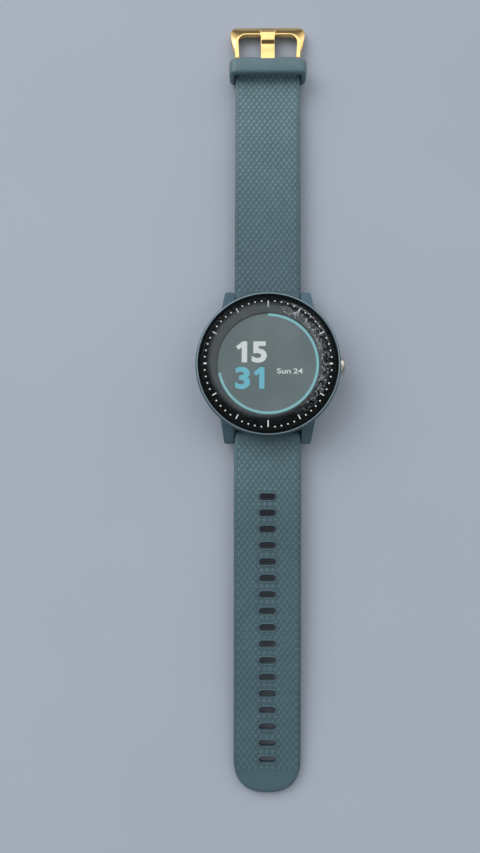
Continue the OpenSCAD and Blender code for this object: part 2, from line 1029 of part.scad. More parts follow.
module keeper_loop() {
    in_h = keeper_h - keeper_wall - keeper_floor;
    color(strap_colour)
        translate([0, keeper_y + keeper_len / 2, 0])
            rotate([90, 0, 0])
                linear_extrude(keeper_len)
                    difference() {
                        translate([0, keeper_h / 2])
                            round_rect(keeper_w, keeper_h, keeper_corner);
                        translate([0, keeper_floor + in_h / 2])
                            round_rect(keeper_in_w, in_h, keeper_in_corner);
                    }
}

// Buckle, drawn flat about its pivot and then tilted down to the table

module at_pivot() {
    translate([0, pivot_y, pivot_z])
        rotate([-buckle_tilt, 0, 0])
            children();
}

module frame_plan() {
    corner_y = buckle_len - far_corner;
    difference() {
        union() {
            polygon(both_sides([
                [ear_out, 0], [ear_out, arm_start], [far_w / 2, arm_end], [far_w / 2, corner_y]
            ]));
            translate([-far_w / 2 + far_corner, arm_end])
                square([far_w - 2 * far_corner, buckle_len - arm_end]);
            for (side = [-1, 1])
                translate([side * (far_w / 2 - far_corner), corner_y])
                    circle(far_corner, $fn = 48);
        }
        polygon(both_sides([[ear_in, -over], [ear_in, arm_start], [far_in, buckle_len - far_bar_w]]));
    }
}

module buckle_frame() {
    color(gold)
        at_pivot()
            difference() {
                union() {
                    intersection() {
                        translate([0, 0, -buckle_down])
                            linear_extrude(buckle_down + buckle_up)
                                frame_plan();
                        across(far_w + over)
                            union() {
                                circle(ear_r);
                                polygon([
                                    [0, -buckle_up], [buckle_len, -buckle_up], [buckle_len, buckle_up - bar_slope],
                                    [buckle_len - far_bar_w + bar_ridge, buckle_up], [0, buckle_up]
                                ]);
                                translate([arm_end, -buckle_down])
                                    square([buckle_len, buckle_down]);
                            }
                    }
                    for (side = [0, 1])
                        mirror([side, 0, 0])
                            rod_x(ear_in, ear_out, ear_r);
                }
                rod_x(-strap_w, strap_w, pivot_r + press_fit);
                block(-tongue_gap / 2, tongue_gap / 2, 0, buckle_len + over, buckle_up - notch_depth, buckle_up + over);
            }
}

module buckle_bar() {
    color(gold)
        at_pivot()
            rod_x(0.1 - ear_out, ear_out - 0.1, pivot_r);
}

module tongue_side() {
    rise = buckle_len - far_bar_w;
    low = loop_r - tongue_t;
    circle(loop_r);
    polygon([
        [0, low], [1.5, low], [rise - 3.6, low - tongue_dip], [rise - 1.7, tongue_rest], [tongue_reach, tongue_rest],
        [tongue_reach, tongue_rest + tongue_t - 0.15], [tongue_reach - 0.3, tongue_rest + tongue_t],
        [rise - 1.9, tongue_rest + tongue_t], [rise - 3.8, loop_r - tongue_dip], [1.5, loop_r], [0, loop_r]
    ]);
}

module buckle_tongue() {
    tip_r = tongue_w / 2;
    color(gold)
        at_pivot()
            difference() {
                intersection() {
                    across(tongue_w)
                        tongue_side();
                    translate([0, 0, -ear_r - over])
                        linear_extrude(2 * (ear_r + over))
                            union() {
                                translate([-tip_r, -ear_r])
                                    square([tongue_w, tongue_reach - tip_r + ear_r]);
                                translate([0, tongue_reach - tip_r])
                                    circle(tip_r);
                            }
                }
                rod_x(-tongue_w, tongue_w, pivot_r + run_fit);
            }
}

case_body();
bezel_ring();
lens();
lens_gasket();
display_panel();
display_frame();
gps_antenna();
main_board();
board_chips();
shield_can();
board_screws();
battery();
battery_foam();
motor_can();
motor_weight();
rear_cover();
rear_gasket();
cover_screws();
sensor_window();
sensor_board();
sensor_leds();
sensor_flex();
charge_contacts();
contact_block();
button_cap();
button_stem();
button_orings();
button_clip();
button_spring();
switch_body();
switch_plunger();
upper_bar_tube();
upper_bar_plunger();
upper_bar_spring();
lower_bar_tube();
lower_bar_plunger();
lower_bar_spring();
short_strap();
keeper_loop();
buckle_frame();
buckle_bar();
buckle_tongue();
long_strap();
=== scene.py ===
# %% [markdown]
# # A round sports watch on a rubber strap, laid open on a pale table
#
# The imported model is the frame: every piece here is built in metres around it, at the place its
# CAD node holds, and rides on the same body. The visible pieces are made again with rounded edges
# and fine surfaces; the pieces inside keep their CAD shape and get a finish.

# %% Load the frame and keep the size it has
import math

import bmesh
import bpy
import numpy as np
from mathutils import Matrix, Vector


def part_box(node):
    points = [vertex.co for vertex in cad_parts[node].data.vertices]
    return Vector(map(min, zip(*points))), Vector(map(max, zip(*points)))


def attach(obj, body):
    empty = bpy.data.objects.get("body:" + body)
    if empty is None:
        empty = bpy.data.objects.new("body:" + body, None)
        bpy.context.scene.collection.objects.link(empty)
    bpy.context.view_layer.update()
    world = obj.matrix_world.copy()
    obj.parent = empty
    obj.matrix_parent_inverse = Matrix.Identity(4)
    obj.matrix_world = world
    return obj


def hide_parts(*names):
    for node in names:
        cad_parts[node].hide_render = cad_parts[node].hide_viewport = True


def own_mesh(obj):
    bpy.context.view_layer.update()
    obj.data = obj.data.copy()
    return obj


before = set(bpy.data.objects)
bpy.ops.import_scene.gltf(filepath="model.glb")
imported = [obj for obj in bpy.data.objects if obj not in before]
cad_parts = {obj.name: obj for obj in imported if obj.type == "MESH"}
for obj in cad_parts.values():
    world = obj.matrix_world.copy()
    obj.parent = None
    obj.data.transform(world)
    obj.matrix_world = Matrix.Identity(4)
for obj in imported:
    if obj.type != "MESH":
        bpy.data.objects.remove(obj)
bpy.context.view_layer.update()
MM = 0.001


def box_mm(node):
    low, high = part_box(node)
    return [c / MM for c in low], [c / MM for c in high]


# %% [markdown]
# ## Heights and widths that the pieces share
#
# A watch head is a stack: cover, case, bezel, glass. The levels come from the boxes of the CAD
# nodes, so that each new piece meets its neighbours. The few numbers that no box tells, such as
# how far a strap arches, repeat what the part's source says.

# %% Levels of the head, the straps and the buckle
bezel_low, bezel_high = box_mm("bezel_ring")
glass_low, glass_high = box_mm("lens")
case_low, case_high = box_mm("case_body")
panel_low, panel_high = box_mm("display_panel")
cap_low, cap_high = box_mm("button_cap")
keeper_low, keeper_high = box_mm("keeper_loop")
tube_low, tube_high = box_mm("upper_bar_tube")
bar_low, bar_high = box_mm("buckle_bar")

HEAD_R = min(bezel_high[0], -bezel_low[0])
GLASS_R = glass_high[0]
BAR_Y = (tube_low[1] + tube_high[1]) / 2
BAR_Z = (tube_low[2] + tube_high[2]) / 2
PIVOT_Y = (bar_low[1] + bar_high[1]) / 2
PIVOT_Z = (bar_low[2] + bar_high[2]) / 2
BUTTON_Z = (cap_low[2] + cap_high[2]) / 2
print(
    f"head radius {HEAD_R:.2f}, spring bar y {BAR_Y:.2f} z {BAR_Z:.2f}, pivot y {PIVOT_Y:.2f} z {PIVOT_Z:.2f}"
)

# %% [markdown]
# ## Making solids
#
# Most of these pieces are turned, lofted or cut. A turned piece is an outline swept round an axis,
# a lofted piece is a row of closed loops joined by quads, and a cut piece has other solids taken
# away with an exact Boolean. Points are written in millimetres and become metres once, here.

# %% A closed mesh from points, with its normals outward
SMOOTH = 32     # degrees: a fold sharper than this stays a sharp edge


def linked(name, data):
    piece = bpy.data.objects.new(name, data)
    bpy.context.scene.collection.objects.link(piece)
    return piece


def solid(name, points, faces, smooth=SMOOTH):
    mesh = bpy.data.meshes.new(name)
    mesh.from_pydata([Vector(p) * MM for p in points], [], faces)
    dress(mesh, smooth)
    return linked(name, mesh)


def dress(mesh, smooth, merge=1e-7):
    work = bmesh.new()
    work.from_mesh(mesh)
    bmesh.ops.remove_doubles(work, verts=work.verts, dist=merge)
    bmesh.ops.dissolve_degenerate(work, dist=merge, edges=work.edges)
    bmesh.ops.recalc_face_normals(work, faces=work.faces)
    work.to_mesh(mesh)
    work.free()
    mesh.shade_smooth()
    mesh.set_sharp_from_angle(angle=math.radians(smooth))


# %% A turned piece: an outline of (radius, height) swept round Z or X
def turned(name, outline, steps=144, along="z", at=(0, 0, 0), smooth=SMOOTH):
    poles = outline[0][0] == 0 and outline[-1][0] == 0
    points, rings = [], []
    for radius, height in outline:
        count = 1 if radius == 0 else steps
        rings.append(range(len(points), len(points) + count))
        for i in range(count):
            a = 2 * math.pi * i / steps
            p = (radius * math.cos(a), radius * math.sin(a), height)
            if along == "x":
                p = (height, p[0], p[1])
            points.append([p[k] + at[k] for k in range(3)])
    faces = []
    for k in range(len(rings) - (1 if poles else 0)):
        a, b = rings[k], rings[(k + 1) % len(rings)]
        for i in range(steps):
            j = (i + 1) % steps
            quad = [a[i % len(a)], a[j % len(a)], b[j % len(b)], b[i % len(b)]]
            faces.append(list(dict.fromkeys(quad)))
    return solid(name, points, [f for f in faces if len(f) > 2], smooth)


def rod(x0, x1, radius, y=0, z=0, inner=0):
    outline = [(inner, x0), (radius, x0), (radius, x1), (inner, x1)]
    return turned("rod", outline, 72, "x", (0, y, z))


def disc(radius, z0, z1, x=0, y=0, steps=48):
    return turned("disc", [(0, z0), (radius, z0), (radius, z1), (0, z1)], steps, "z", (x, y, 0))


# %% A lofted piece: closed loops joined in order, with its ends closed
def lofted(name, loops, ring=False, smooth=SMOOTH):
    n = len(loops[0])
    points = [p for loop in loops for p in loop]
    pairs = [(k, (k + 1) % len(loops)) for k in range(len(loops) - (0 if ring else 1))]
    faces = [
        [a * n + i, a * n + (i + 1) % n, b * n + (i + 1) % n, b * n + i]
        for a, b in pairs for i in range(n)
    ]
    if not ring:
        faces += [list(range(n)), [len(points) - 1 - i for i in range(n)]]
    return solid(name, points, faces, smooth)


def block(x0, x1, y0, y1, z0, z1):
    corners = [(x0, y0), (x1, y0), (x1, y1), (x0, y1)]
    return lofted("block", [[(x, y, z) for x, y in corners] for z in (z0, z1)])


# %% Add to a piece or cut from it, and keep the plain mesh
def evaluated_mesh(piece):
    graph = bpy.context.evaluated_depsgraph_get()
    return bpy.data.meshes.new_from_object(piece.evaluated_get(graph))


def carve(piece, cutters, operation="DIFFERENCE", smooth=SMOOTH):
    for cutter in cutters:
        step = piece.modifiers.new("carve", "BOOLEAN")
        step.solver, step.operation, step.object = "EXACT", operation, cutter
    mesh = evaluated_mesh(piece)
    piece.modifiers.clear()
    old = piece.data
    piece.data = mesh
    bpy.data.meshes.remove(old)
    mesh.name = piece.name
    for cutter in cutters:
        bpy.data.objects.remove(cutter)
    dress(mesh, smooth, 2e-7)
    return piece


def joined(parts):
    whole = bmesh.new()
    for part in parts:
        whole.from_mesh(part.data)
        bpy.data.objects.remove(part)
    mesh = bpy.data.meshes.new("walls")
    whole.to_mesh(mesh)
    whole.free()
    return linked("walls", mesh)


def tell(piece):
    size = " x ".join(f"{side / MM:.2f}" for side in piece.dimensions)
    print(f"{piece.name}: {len(piece.data.polygons)} faces, {size} mm")


# %% [markdown]
# ## Writing a finish as sums
#
# A node tree is easier to read as arithmetic. A wire is one socket, and adding, multiplying or
# comparing wires adds the Math nodes. Any other node comes from one method, which sets the node's
# own settings first and then its sockets. The same two classes serve materials and geometry nodes.

# %% Wires and node trees
class Wire:
    def __init__(self, nodes, socket):
        self.nodes, self.socket = nodes, socket

    def math(self, operation, *values):
        return self.nodes.node("ShaderNodeMath", {"operation": operation}, dict(enumerate(values)))

    def __add__(self, other): return self.math("ADD", self, other)
    def __sub__(self, other): return self.math("SUBTRACT", self, other)
    def __rsub__(self, other): return self.math("SUBTRACT", other, self)
    def __mul__(self, other): return self.math("MULTIPLY", self, other)
    def __truediv__(self, other): return self.math("DIVIDE", self, other)
    def __rtruediv__(self, other): return self.math("DIVIDE", other, self)
    def __mod__(self, other): return self.math("FLOORED_MODULO", self, other)
    def __gt__(self, other): return self.math("GREATER_THAN", self, other)
    def __abs__(self): return self.math("ABSOLUTE", self)
    __radd__, __rmul__ = __add__, __mul__


def socket_of(sockets, key):
    if isinstance(key, int):
        return sockets[key]
    return next(s for s in sockets if key in (s.identifier, s.name))


class Nodes:
    def __init__(self, tree):
        self.tree = tree

    def node(self, kind, settings=None, values=None, out=0):
        made = self.tree.nodes.new(kind)
        for key, value in (settings or {}).items():
            setattr(made, key, value)
        for key, value in (values or {}).items():
            socket = socket_of(made.inputs, key)
            if isinstance(value, Wire):
                self.tree.links.new(value.socket, socket)
            else:
                socket.default_value = value
        return Wire(self, socket_of(made.outputs, out)) if made.outputs else made

    def step(self, value, low, high):
        return self.node(
            "ShaderNodeMapRange", {"interpolation_type": "SMOOTHSTEP"},
            {"Value": value, "From Min": low, "From Max": high},
        )


def from_axis(x, y):
    squares = x * x + y * y
    return squares.math("SQRT", squares)


# %% A finish: a material with coordinates in millimetres, noise, masks and one surface
def tint(r, g, b):
    def straight(c):
        c = c / 255
        return c / 12.92 if c <= 0.04045 else ((c + 0.055) / 1.055) ** 2.4
    return (straight(r), straight(g), straight(b), 1)


def scaled(colour, k):
    return tuple(min(1, c * k) for c in colour[:3]) + (1,)


class Finish(Nodes):
    def __init__(self, name):
        self.material = bpy.data.materials.new(name)
        self.material.use_nodes = True
        self.material.node_tree.nodes.clear()
        super().__init__(self.material.node_tree)
        self.place = self.node("ShaderNodeTexCoord", out="Object")

    def axes(self):
        parts = self.node("ShaderNodeSeparateXYZ", values={0: self.place}).socket.node
        return [Wire(self, parts.outputs[i]) * (1 / MM) for i in range(3)]

    def noise(self, size, detail=2.0, stretch=(1, 1, 1), seed=0.0):
        moved = self.node(
            "ShaderNodeMapping", values={"Vector": self.place, "Location": (seed, 0, 0), "Scale": stretch},
        )
        return self.node(
            "ShaderNodeTexNoise", values={"Vector": moved, "Scale": 1 / MM / size, "Detail": detail},
        )

    def cells(self, size, feature="F1"):
        values = {"Vector": self.place, "Scale": 1 / MM / size}
        return self.node("ShaderNodeTexVoronoi", {"feature": feature}, values, "Distance")

    def mix(self, factor, a, b):
        values = {"Factor_Float": factor, "A_Color": a, "B_Color": b}
        return self.node("ShaderNodeMix", {"data_type": "RGBA"}, values, "Result_Color")

    def bump(self, height, depth):
        return self.node("ShaderNodeBump", values={"Height": height, "Distance": depth * MM, "Strength": 1.0})

    def surface(self, **values):
        names = {key.replace("_", " "): value for key, value in values.items()}
        shader = self.node("ShaderNodeBsdfPrincipled", values=names)
        self.node("ShaderNodeOutputMaterial", values={"Surface": shader})
        return self.material


# %% Hand a finished piece to its body
def settle(piece, body, slot, material, *nodes):
    piece.data.materials.clear()
    piece.data.materials.append(material)
    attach(piece, body)
    if nodes:
        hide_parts(*nodes)
    tell(piece)
    return piece


# %% [markdown]
# ## Rubber, moulded case and gold: the three finishes that show most
#
# The strap is moulded silicone: one colour all through, a dull skin with a very fine grain, and
# slow changes of tone at random. Light is painted into its colour too: the end by the buckle is
# painted paler and the long free end deeper, as the window's sheen falls along the strap. The case
# is a fibre-filled polymer in the same colour family, a little darker and smoother. Both could be
# one flat colour, but then they'd read as plastic toys, so tone, roughness and grain each vary a
# little.

# %% Silicone
SHADED_TEAL, LIT_TEAL = tint(69, 96, 105), tint(92, 121, 129)


def silicone(name, crest=False, sunk=False, rough=0.50, k=1.0):
    f = Finish(name)
    x, y, _ = f.axes()
    cloud = f.noise(14.0, 3.0)
    patch = f.noise(3.2, 3.0, seed=4.0)
    grain = f.noise(0.30, 2.0)
    # Painted light: the strap is painted paler towards the buckle end, where the window's sheen falls, and
    # deeper towards the tip; a band on the long strap beside the head is half as pale.
    beside_head = f.step(y, -52.0, -26.0) * (1.0 - f.step(y, -24.0, 0.0))
    painted_light_tone = f.step(y, 25.0, 102.0) + beside_head * 0.5
    tone = f.mix(painted_light_tone, scaled(SHADED_TEAL, k), scaled(LIT_TEAL, k))
    mottle = f.step(cloud * 0.6 + patch * 0.4, 0.36, 0.64)
    base = f.mix(mottle * 0.22, tone, (0.02, 0.05, 0.06, 1))
    rough = rough + patch * 0.14
    if crest:
        # Painted highlight: the tops of the diamonds are painted paler, more so towards the buckle end.
        high = f.node("ShaderNodeAttribute", {"attribute_name": "crest"}, out="Fac")
        base = f.mix(high * (painted_light_tone * 0.08 + 0.03), base, (0.52, 0.78, 0.80, 1))
        rough = rough - high * 0.10
    if sunk:
        # Painted shade: the ground between the diamonds is darkened a little towards black, as shade in the
        # grooves, away from the edges, the root and the tip.
        inside = 1.0 - f.step(abs(x), 9.3, 9.9)
        beyond = f.step(abs(y), BAR_Y + 1.0, BAR_Y + 2.0) * (1.0 - f.step(y * -1.0, 119.0, 121.5))
        base = f.mix(inside * beyond * 0.20, base, (0.0, 0.005, 0.008, 1))
    normal = f.bump(grain + patch * 0.6, 0.012)
    return f.surface(
        Base_Color=base, Roughness=rough, Normal=normal, Sheen_Weight=0.10, Sheen_Roughness=0.5,
        Specular_IOR_Level=0.45,
    )


rubber = silicone("strap_rubber")
rubber_groove_shade = silicone("strap_rubber_ground", sunk=True)
rubber_crest_highlight = silicone("strap_rubber_diamond", crest=True)
print("strap rubber", [round(c, 3) for c in SHADED_TEAL[:3]], "to", [round(c, 3) for c in LIT_TEAL[:3]])

# %% Moulded polymer for the case
def polymer(name, colour, rough=0.40):
    f = Finish(name)
    cloud = f.noise(11.0, 3.0, seed=2.0)
    grain = f.noise(0.16, 2.0)
    base = f.mix(f.step(cloud, 0.38, 0.62), scaled(colour, 0.88), scaled(colour, 1.12))
    return f.surface(
        Base_Color=base, Roughness=rough + cloud * 0.10, Normal=f.bump(grain, 0.006), Specular_IOR_Level=0.5,
    )


case_teal = polymer("case_polymer", tint(70, 97, 108))

# %% [markdown]
# The buckle is steel with a gold-coloured coating and the button is plain steel, a little warm in
# tone. Both are polished and then rubbed in use. A polished metal is nearly all reflection, so its
# roughness does the work: fine lines along the rubbing direction and a few duller patches keep it
# from looking like a perfect mirror.

# %% Polished metal
def polished(name, colour, along=(1, 14, 1)):
    f = Finish(name)
    lines = f.noise(0.9, 3.0, stretch=along)
    smudge = f.noise(2.6, 2.0, seed=1.0)
    base = f.mix(f.step(smudge, 0.3, 0.7), colour, scaled(colour, 1.08))
    rough = 0.09 + lines * 0.08 + f.step(smudge, 0.45, 0.75) * 0.05
    return f.surface(Base_Color=base, Metallic=1.0, Roughness=rough, Normal=f.bump(lines, 0.003))


buckle_gold = polished("buckle_gold", (0.80, 0.55, 0.225, 1))
cap_steel = polished("button_steel", (0.50, 0.47, 0.41, 1), (14, 1, 1))

# %% [markdown]
# ## Case
#
# The case is one moulding: a bowl whose side swells outward to the bezel, four lugs that hold the
# spring bars, and a short round housing for the button. The bowl is turned from one closed
# outline, inside and out. Each lug is a prism with rounded rims, because its side and its plan are
# both simple. They are joined by an exact Boolean, and then the grooves for the straps, the pin
# holes, the button's bores and the screw holes are cut.

# %% The turned bowl
BOTTOM_Z, RIM_Z = case_low[2], case_high[2]
BELLY_R, BOTTOM_R = HEAD_R - 0.15, HEAD_R - 3.4
CAVITY_R, REBATE_R, FLOOR_R, RIM_R = 17.6, 17.4, 14.3, GLASS_R + 0.05
belly = [
    (BOTTOM_R + (BELLY_R - BOTTOM_R) * math.sin(math.pi / 2 * u), BOTTOM_Z + (bezel_low[2] - BOTTOM_Z) * u)
    for u in np.linspace(0, 1, 33)
]
bowl_outline = (
    [(REBATE_R, BOTTOM_Z + 0.1), (REBATE_R + 0.1, BOTTOM_Z), (BOTTOM_R - 0.15, BOTTOM_Z)] + belly[1:]
    + [(RIM_R, bezel_low[2]), (RIM_R, RIM_Z), (19.0, RIM_Z), (19.0, 9.9), (CAVITY_R, 9.9),
       (CAVITY_R, 3.4), (FLOOR_R, 3.4), (FLOOR_R, 2.6), (REBATE_R, 2.6)]
)
case_shell = turned("case_shell", bowl_outline, 192)
tell(case_shell)


# %% One lug with rounded rims
LUG_IN, LUG_TIP, LUG_FLARE, LUG_ROOT, LUG_R = 10.15, 13.15, 0.9, 15.4, 1.9
LUG_BACK, LUG_RISE, RIM_ROUND, RIM_FOLD = 4, 4.9, 0.42, 50


def lug(side, end):
    corner = np.array([BAR_Y - LUG_BACK, BAR_Z + LUG_RISE])
    away = corner - np.array([BAR_Y, BAR_Z])
    lean = math.atan2(away[1], away[0]) - math.acos(LUG_R / math.hypot(*away))
    outline = [(LUG_ROOT, BAR_Z - LUG_R), (BAR_Y, BAR_Z - LUG_R)]
    for a in np.linspace(-math.pi / 2, lean, 14)[1:]:
        outline.append((BAR_Y + LUG_R * math.cos(a), BAR_Z + LUG_R * math.sin(a)))
    for t in np.linspace(0, 1, 6):
        bend = np.array([corner[0] + 0.9 * (1 - t) ** 2 - 1.2 * t ** 2, corner[1] - 1.1 * (1 - t) ** 2])
        outline.append(tuple(bend))
    outline.append((LUG_ROOT, corner[1]))

    def outer(y):
        return LUG_TIP + (BAR_Y + LUG_R - y) * LUG_FLARE / (LUG_BACK + LUG_R)
    inside = [(side * LUG_IN, end * y, z) for y, z in outline]
    outside = [(side * outer(y), end * y, z) for y, z in outline]
    piece = lofted("lug", [inside, outside])
    work = bmesh.new()
    work.from_mesh(piece.data)
    rims = [e for e in work.edges if e.calc_face_angle(0) > math.radians(RIM_FOLD)]
    bmesh.ops.bevel(
        work, geom=rims, offset=RIM_ROUND * MM, segments=4, profile=0.5, affect="EDGES", clamp_overlap=True,
    )
    work.to_mesh(piece.data)
    work.free()
    dress(piece.data, SMOOTH)
    return piece


lugs = [lug(side, end) for side in (-1, 1) for end in (-1, 1)]
print("lug reach", LUG_TIP, "to", BAR_Y + LUG_R)

# %% Join the lugs, housing, posts and boss
POST_RING, POST_ANGLE = 15.9, math.radians(58.9)
post_x, post_y = POST_RING * math.cos(POST_ANGLE), POST_RING * math.sin(POST_ANGLE)
posts = [(sx * post_x, sy * post_y) for sx in (-1, 1) for sy in (-1, 1)]
housing = turned(
    "housing",
    [(0, 18.4), (3.6, 18.4), (3.6, HEAD_R - 0.8), (3.54, HEAD_R - 0.6), (3.38, HEAD_R - 0.46),
     (3.2, HEAD_R - 0.4), (0, HEAD_R - 0.4)],
    96, "x", (0, 0, BUTTON_Z),
)
added = lugs + [housing, rod(17.0, 18.0, 2.4, z=BUTTON_Z)] + [disc(1.55, 3.0, 7.6, x, y) for x, y in posts]
carve(case_shell, added, "UNION")

# %% Cut the strap grooves, pin holes, button bores and screw holes
STRAP_GROOVE_R, PIN_HOLE_R, PIN_REACH = 2.45, 0.47, 11.35
STEM_BORE_R, CAP_BORE_R, SPRING_BORE_R, OUTSIDE = 0.85, 3.0, 2.3, 25
cap_back, cap_face = cap_low[0], cap_high[0]
cuts = [rod(-LUG_IN, LUG_IN, STRAP_GROOVE_R, end * BAR_Y, BAR_Z) for end in (-1, 1)]
cuts += [rod(-PIN_REACH, PIN_REACH, PIN_HOLE_R, end * BAR_Y, BAR_Z) for end in (-1, 1)]
cuts += [rod(16, OUTSIDE, STEM_BORE_R, z=BUTTON_Z), rod(cap_back - 0.8, OUTSIDE, CAP_BORE_R, z=BUTTON_Z)]
cuts += [rod(cap_back - 2.3, cap_back - 0.7, SPRING_BORE_R, z=BUTTON_Z, inner=1.3)]
cuts += [disc(0.57, z0, z1, x, y) for x, y in posts for z0, z1 in ((1, 5.5), (6.1, 8.2))]
carve(case_shell, cuts, smooth=30)
settle(case_shell, "case", "case_polymer", case_teal, "case_body")

# %% [markdown]
# ## Bezel ring
#
# The bezel is a turned metal ring over the rim. Its outer side leans inward and keeps the case
# colour, and a narrow chamfer next to the glass is cut back to bright metal. The outline has small
# rounds, since a knife edge catches no light, and the finish picks the chamfer out by radius.

# %% Bezel outline and its two-tone finish
in_r, foot, crown = HEAD_R - 0.8, bezel_low[2], bezel_high[2]
bezel_outline = [
    (in_r, foot), (HEAD_R - 0.06, foot), (HEAD_R, foot + 0.06), (HEAD_R, foot + 0.66),
    (HEAD_R - 0.03, foot + 0.80), (HEAD_R - 0.10, foot + 0.95),
    (HEAD_R - 0.42, crown - 0.16), (HEAD_R - 0.47, crown - 0.07), (HEAD_R - 0.53, crown - 0.015),
    (HEAD_R - 0.60, crown),
    (HEAD_R - 0.66, crown - 0.01), (HEAD_R - 0.72, crown - 0.07), (HEAD_R - 0.78, crown - 0.20),
    (in_r, crown - 0.34),
]
bezel = turned("bezel", bezel_outline, 192, smooth=24)


def ring_finish():
    f = Finish("bezel_metal")
    x, y, z = f.axes()
    radius = from_axis(x, y)
    bright = (1.0 - f.step(radius, HEAD_R - 0.48, HEAD_R - 0.43)) * f.step(z, crown - 0.22, crown - 0.14)
    cloud = f.noise(6.0, 2.0)
    base = f.mix(bright, f.mix(cloud, tint(54, 80, 91), tint(66, 92, 103)), tint(166, 184, 190))
    return f.surface(
        Base_Color=base, Metallic=0.10 + bright * 0.75, Roughness=0.40 - bright * 0.10 + cloud * 0.06,
    )


settle(bezel, "case", "bezel_metal", ring_finish(), "bezel_ring")

# %% [markdown]
# ## Glass
#
# The cover glass is flat in the middle and rolls down to the bezel at its edge. It is a thin layer
# of gloss over a dark inside, so it is drawn as a nearly clear, smooth surface that mirrors the
# light. It wears a thin protective film, scuffed on one side: fine threads of scratches in a band
# near the rim, which show as pale hair lines. Over the black border a painted reflection greys the
# glass towards the upper left, and a painted glint lies along the rim at the upper right.

# %% Glass solid
GLASS_FLAT = GLASS_R - 1.6
glass_base, glass_top = glass_low[2] + 0.05, glass_high[2]
leans = np.radians([0, 2, 8, 16, 24, 30, 35, 39, 42, 45, 48, 50, 52, 54])
reach = [0.0] + [0.05] * 5 + [(GLASS_R - GLASS_FLAT - 0.25) / 8] * 8
roll, drop = [], 0.0
for lean, forward in zip(leans, reach):
    drop += forward * math.tan(lean) * 0.80
    roll.append(((roll[-1][0] if roll else GLASS_FLAT) + forward, glass_top - drop))
cover_glass = turned(
    "cover_glass",
    [(0, glass_top)] + roll + [(GLASS_R, glass_base + 0.05), (GLASS_R - 0.05, glass_base), (0, glass_base)],
    192,
)


def glass_with_scuffs_and_painted_light():
    f = Finish("cover_glass")
    x, y, _ = f.axes()
    radius = from_axis(x, y)
    bearing = x.math("ARCTAN2", x, y) * (180 / math.pi)
    band = f.step(radius, 15.0, 16.2) * (1.0 - f.step(radius, 17.8, 18.8))
    side = f.step(bearing, 4.0, 24.0) * (1.0 - f.step(bearing, 120.0, 165.0))
    hair = 1.0 - f.step(abs(f.noise(1.7, 4.0, seed=3.0) - 0.5), 0.0, 0.020)
    stray_hair = 1.0 - f.step(abs(f.noise(4.5, 5.0, seed=7.0) - 0.5), 0.0, 0.010)
    specks = 1.0 - f.step(f.cells(2.6), 0.02, 0.07)
    broken = 0.30 + f.step(f.noise(1.1, 3.0, seed=9.0), 0.40, 0.62) * 0.70
    # Painted highlight: a pale, broken band on the film along the rim at the upper right, where a glint of
    # light lies.
    painted_rim_glint = f.step(radius, 18.75, 18.95) * (1.0 - f.step(radius, 19.10, 19.30))
    painted_rim_glint = broken * painted_rim_glint * f.step(bearing, 4.0, 30.0) * (1.0 - f.step(bearing, 55.0, 88.0))
    scuffs_and_glint = hair * band * side + painted_rim_glint * 0.9
    scuffs_and_glint = scuffs_and_glint + specks * (1.0 - f.step(radius, 18.0, 18.6)) * 0.25
    scuffs_and_glint = scuffs_and_glint + stray_hair * 0.12 * (1.0 - f.step(radius, 18.4, 18.9))
    scuffs_and_glint = scuffs_and_glint.math("MINIMUM", scuffs_and_glint, 1.0)
    # Painted reflection: the black border next to the display is greyed, reaching further out towards the
    # upper left.
    facing = (y * 0.8 - x * 0.6) / radius
    painted_reflection = f.step(radius, 14.9, 15.3) * (1.0 - f.step(radius - facing * 1.2, 15.9, 18.2))
    under = f.mix(painted_reflection, (0.004, 0.005, 0.006, 1), (0.125, 0.145, 0.152, 1))
    base = f.mix(scuffs_and_glint, under, (0.62, 0.66, 0.68, 1))
    haze = f.noise(9.0, 3.0)
    return f.surface(
        Base_Color=base, Roughness=0.05 + haze * 0.05, Alpha=0.15 + painted_reflection * 0.30 + scuffs_and_glint * 0.42, IOR=1.55,
    )


settle(cover_glass, "case", "glass", glass_with_scuffs_and_painted_light(), "lens")

# %% [markdown]
# ## Display and what it shows
#
# Under the glass lies a dark panel whose round active area glows grey: painted light, in place of
# the light its grey face reflects. On the glass's inner face a black ring is printed with the
# minute marks, which glow as painted light too. The marks repeat round a circle, so geometry
# nodes place them: one recipe puts a mark on each point of a ring, turned to face the centre, and
# leaves out every so many, so that dots, hour bars and the longer quarter bars never collide.

# %% Panel with a glowing round
PANEL_TOP = panel_high[2] - 0.10
ACTIVE_R, PANEL_R = 15.2, 17.0
panel_outline = [
    (0, panel_low[2]), (PANEL_R, panel_low[2]), (PANEL_R, PANEL_TOP - 0.1), (PANEL_R - 0.1, PANEL_TOP),
    (0, PANEL_TOP),
]
panel = turned("display", panel_outline)


def screen_finish():
    f = Finish("display_panel")
    x, y, z = f.axes()
    radius = from_axis(x, y)
    lit = (1.0 - f.step(radius, ACTIVE_R - 0.25, ACTIVE_R)) * f.step(z, PANEL_TOP - 0.3, PANEL_TOP - 0.1)
    cloud = f.noise(16.0, 2.0)
    # Painted light: the active area glows grey in place of the light the display's grey face would reflect.
    glow = f.mix(f.step(cloud, 0.3, 0.7), tint(100, 115, 117), tint(112, 127, 129))
    base = f.mix(lit, (0.010, 0.012, 0.014, 1), (0.03, 0.035, 0.037, 1))
    return f.surface(
        Base_Color=base, Roughness=0.35 + cloud * 0.1, Emission_Color=f.mix(lit, (0.0, 0.0, 0.0, 1), glow),
        Emission_Strength=1.0,
    )


settle(panel, "case", "display", screen_finish(), "display_panel")

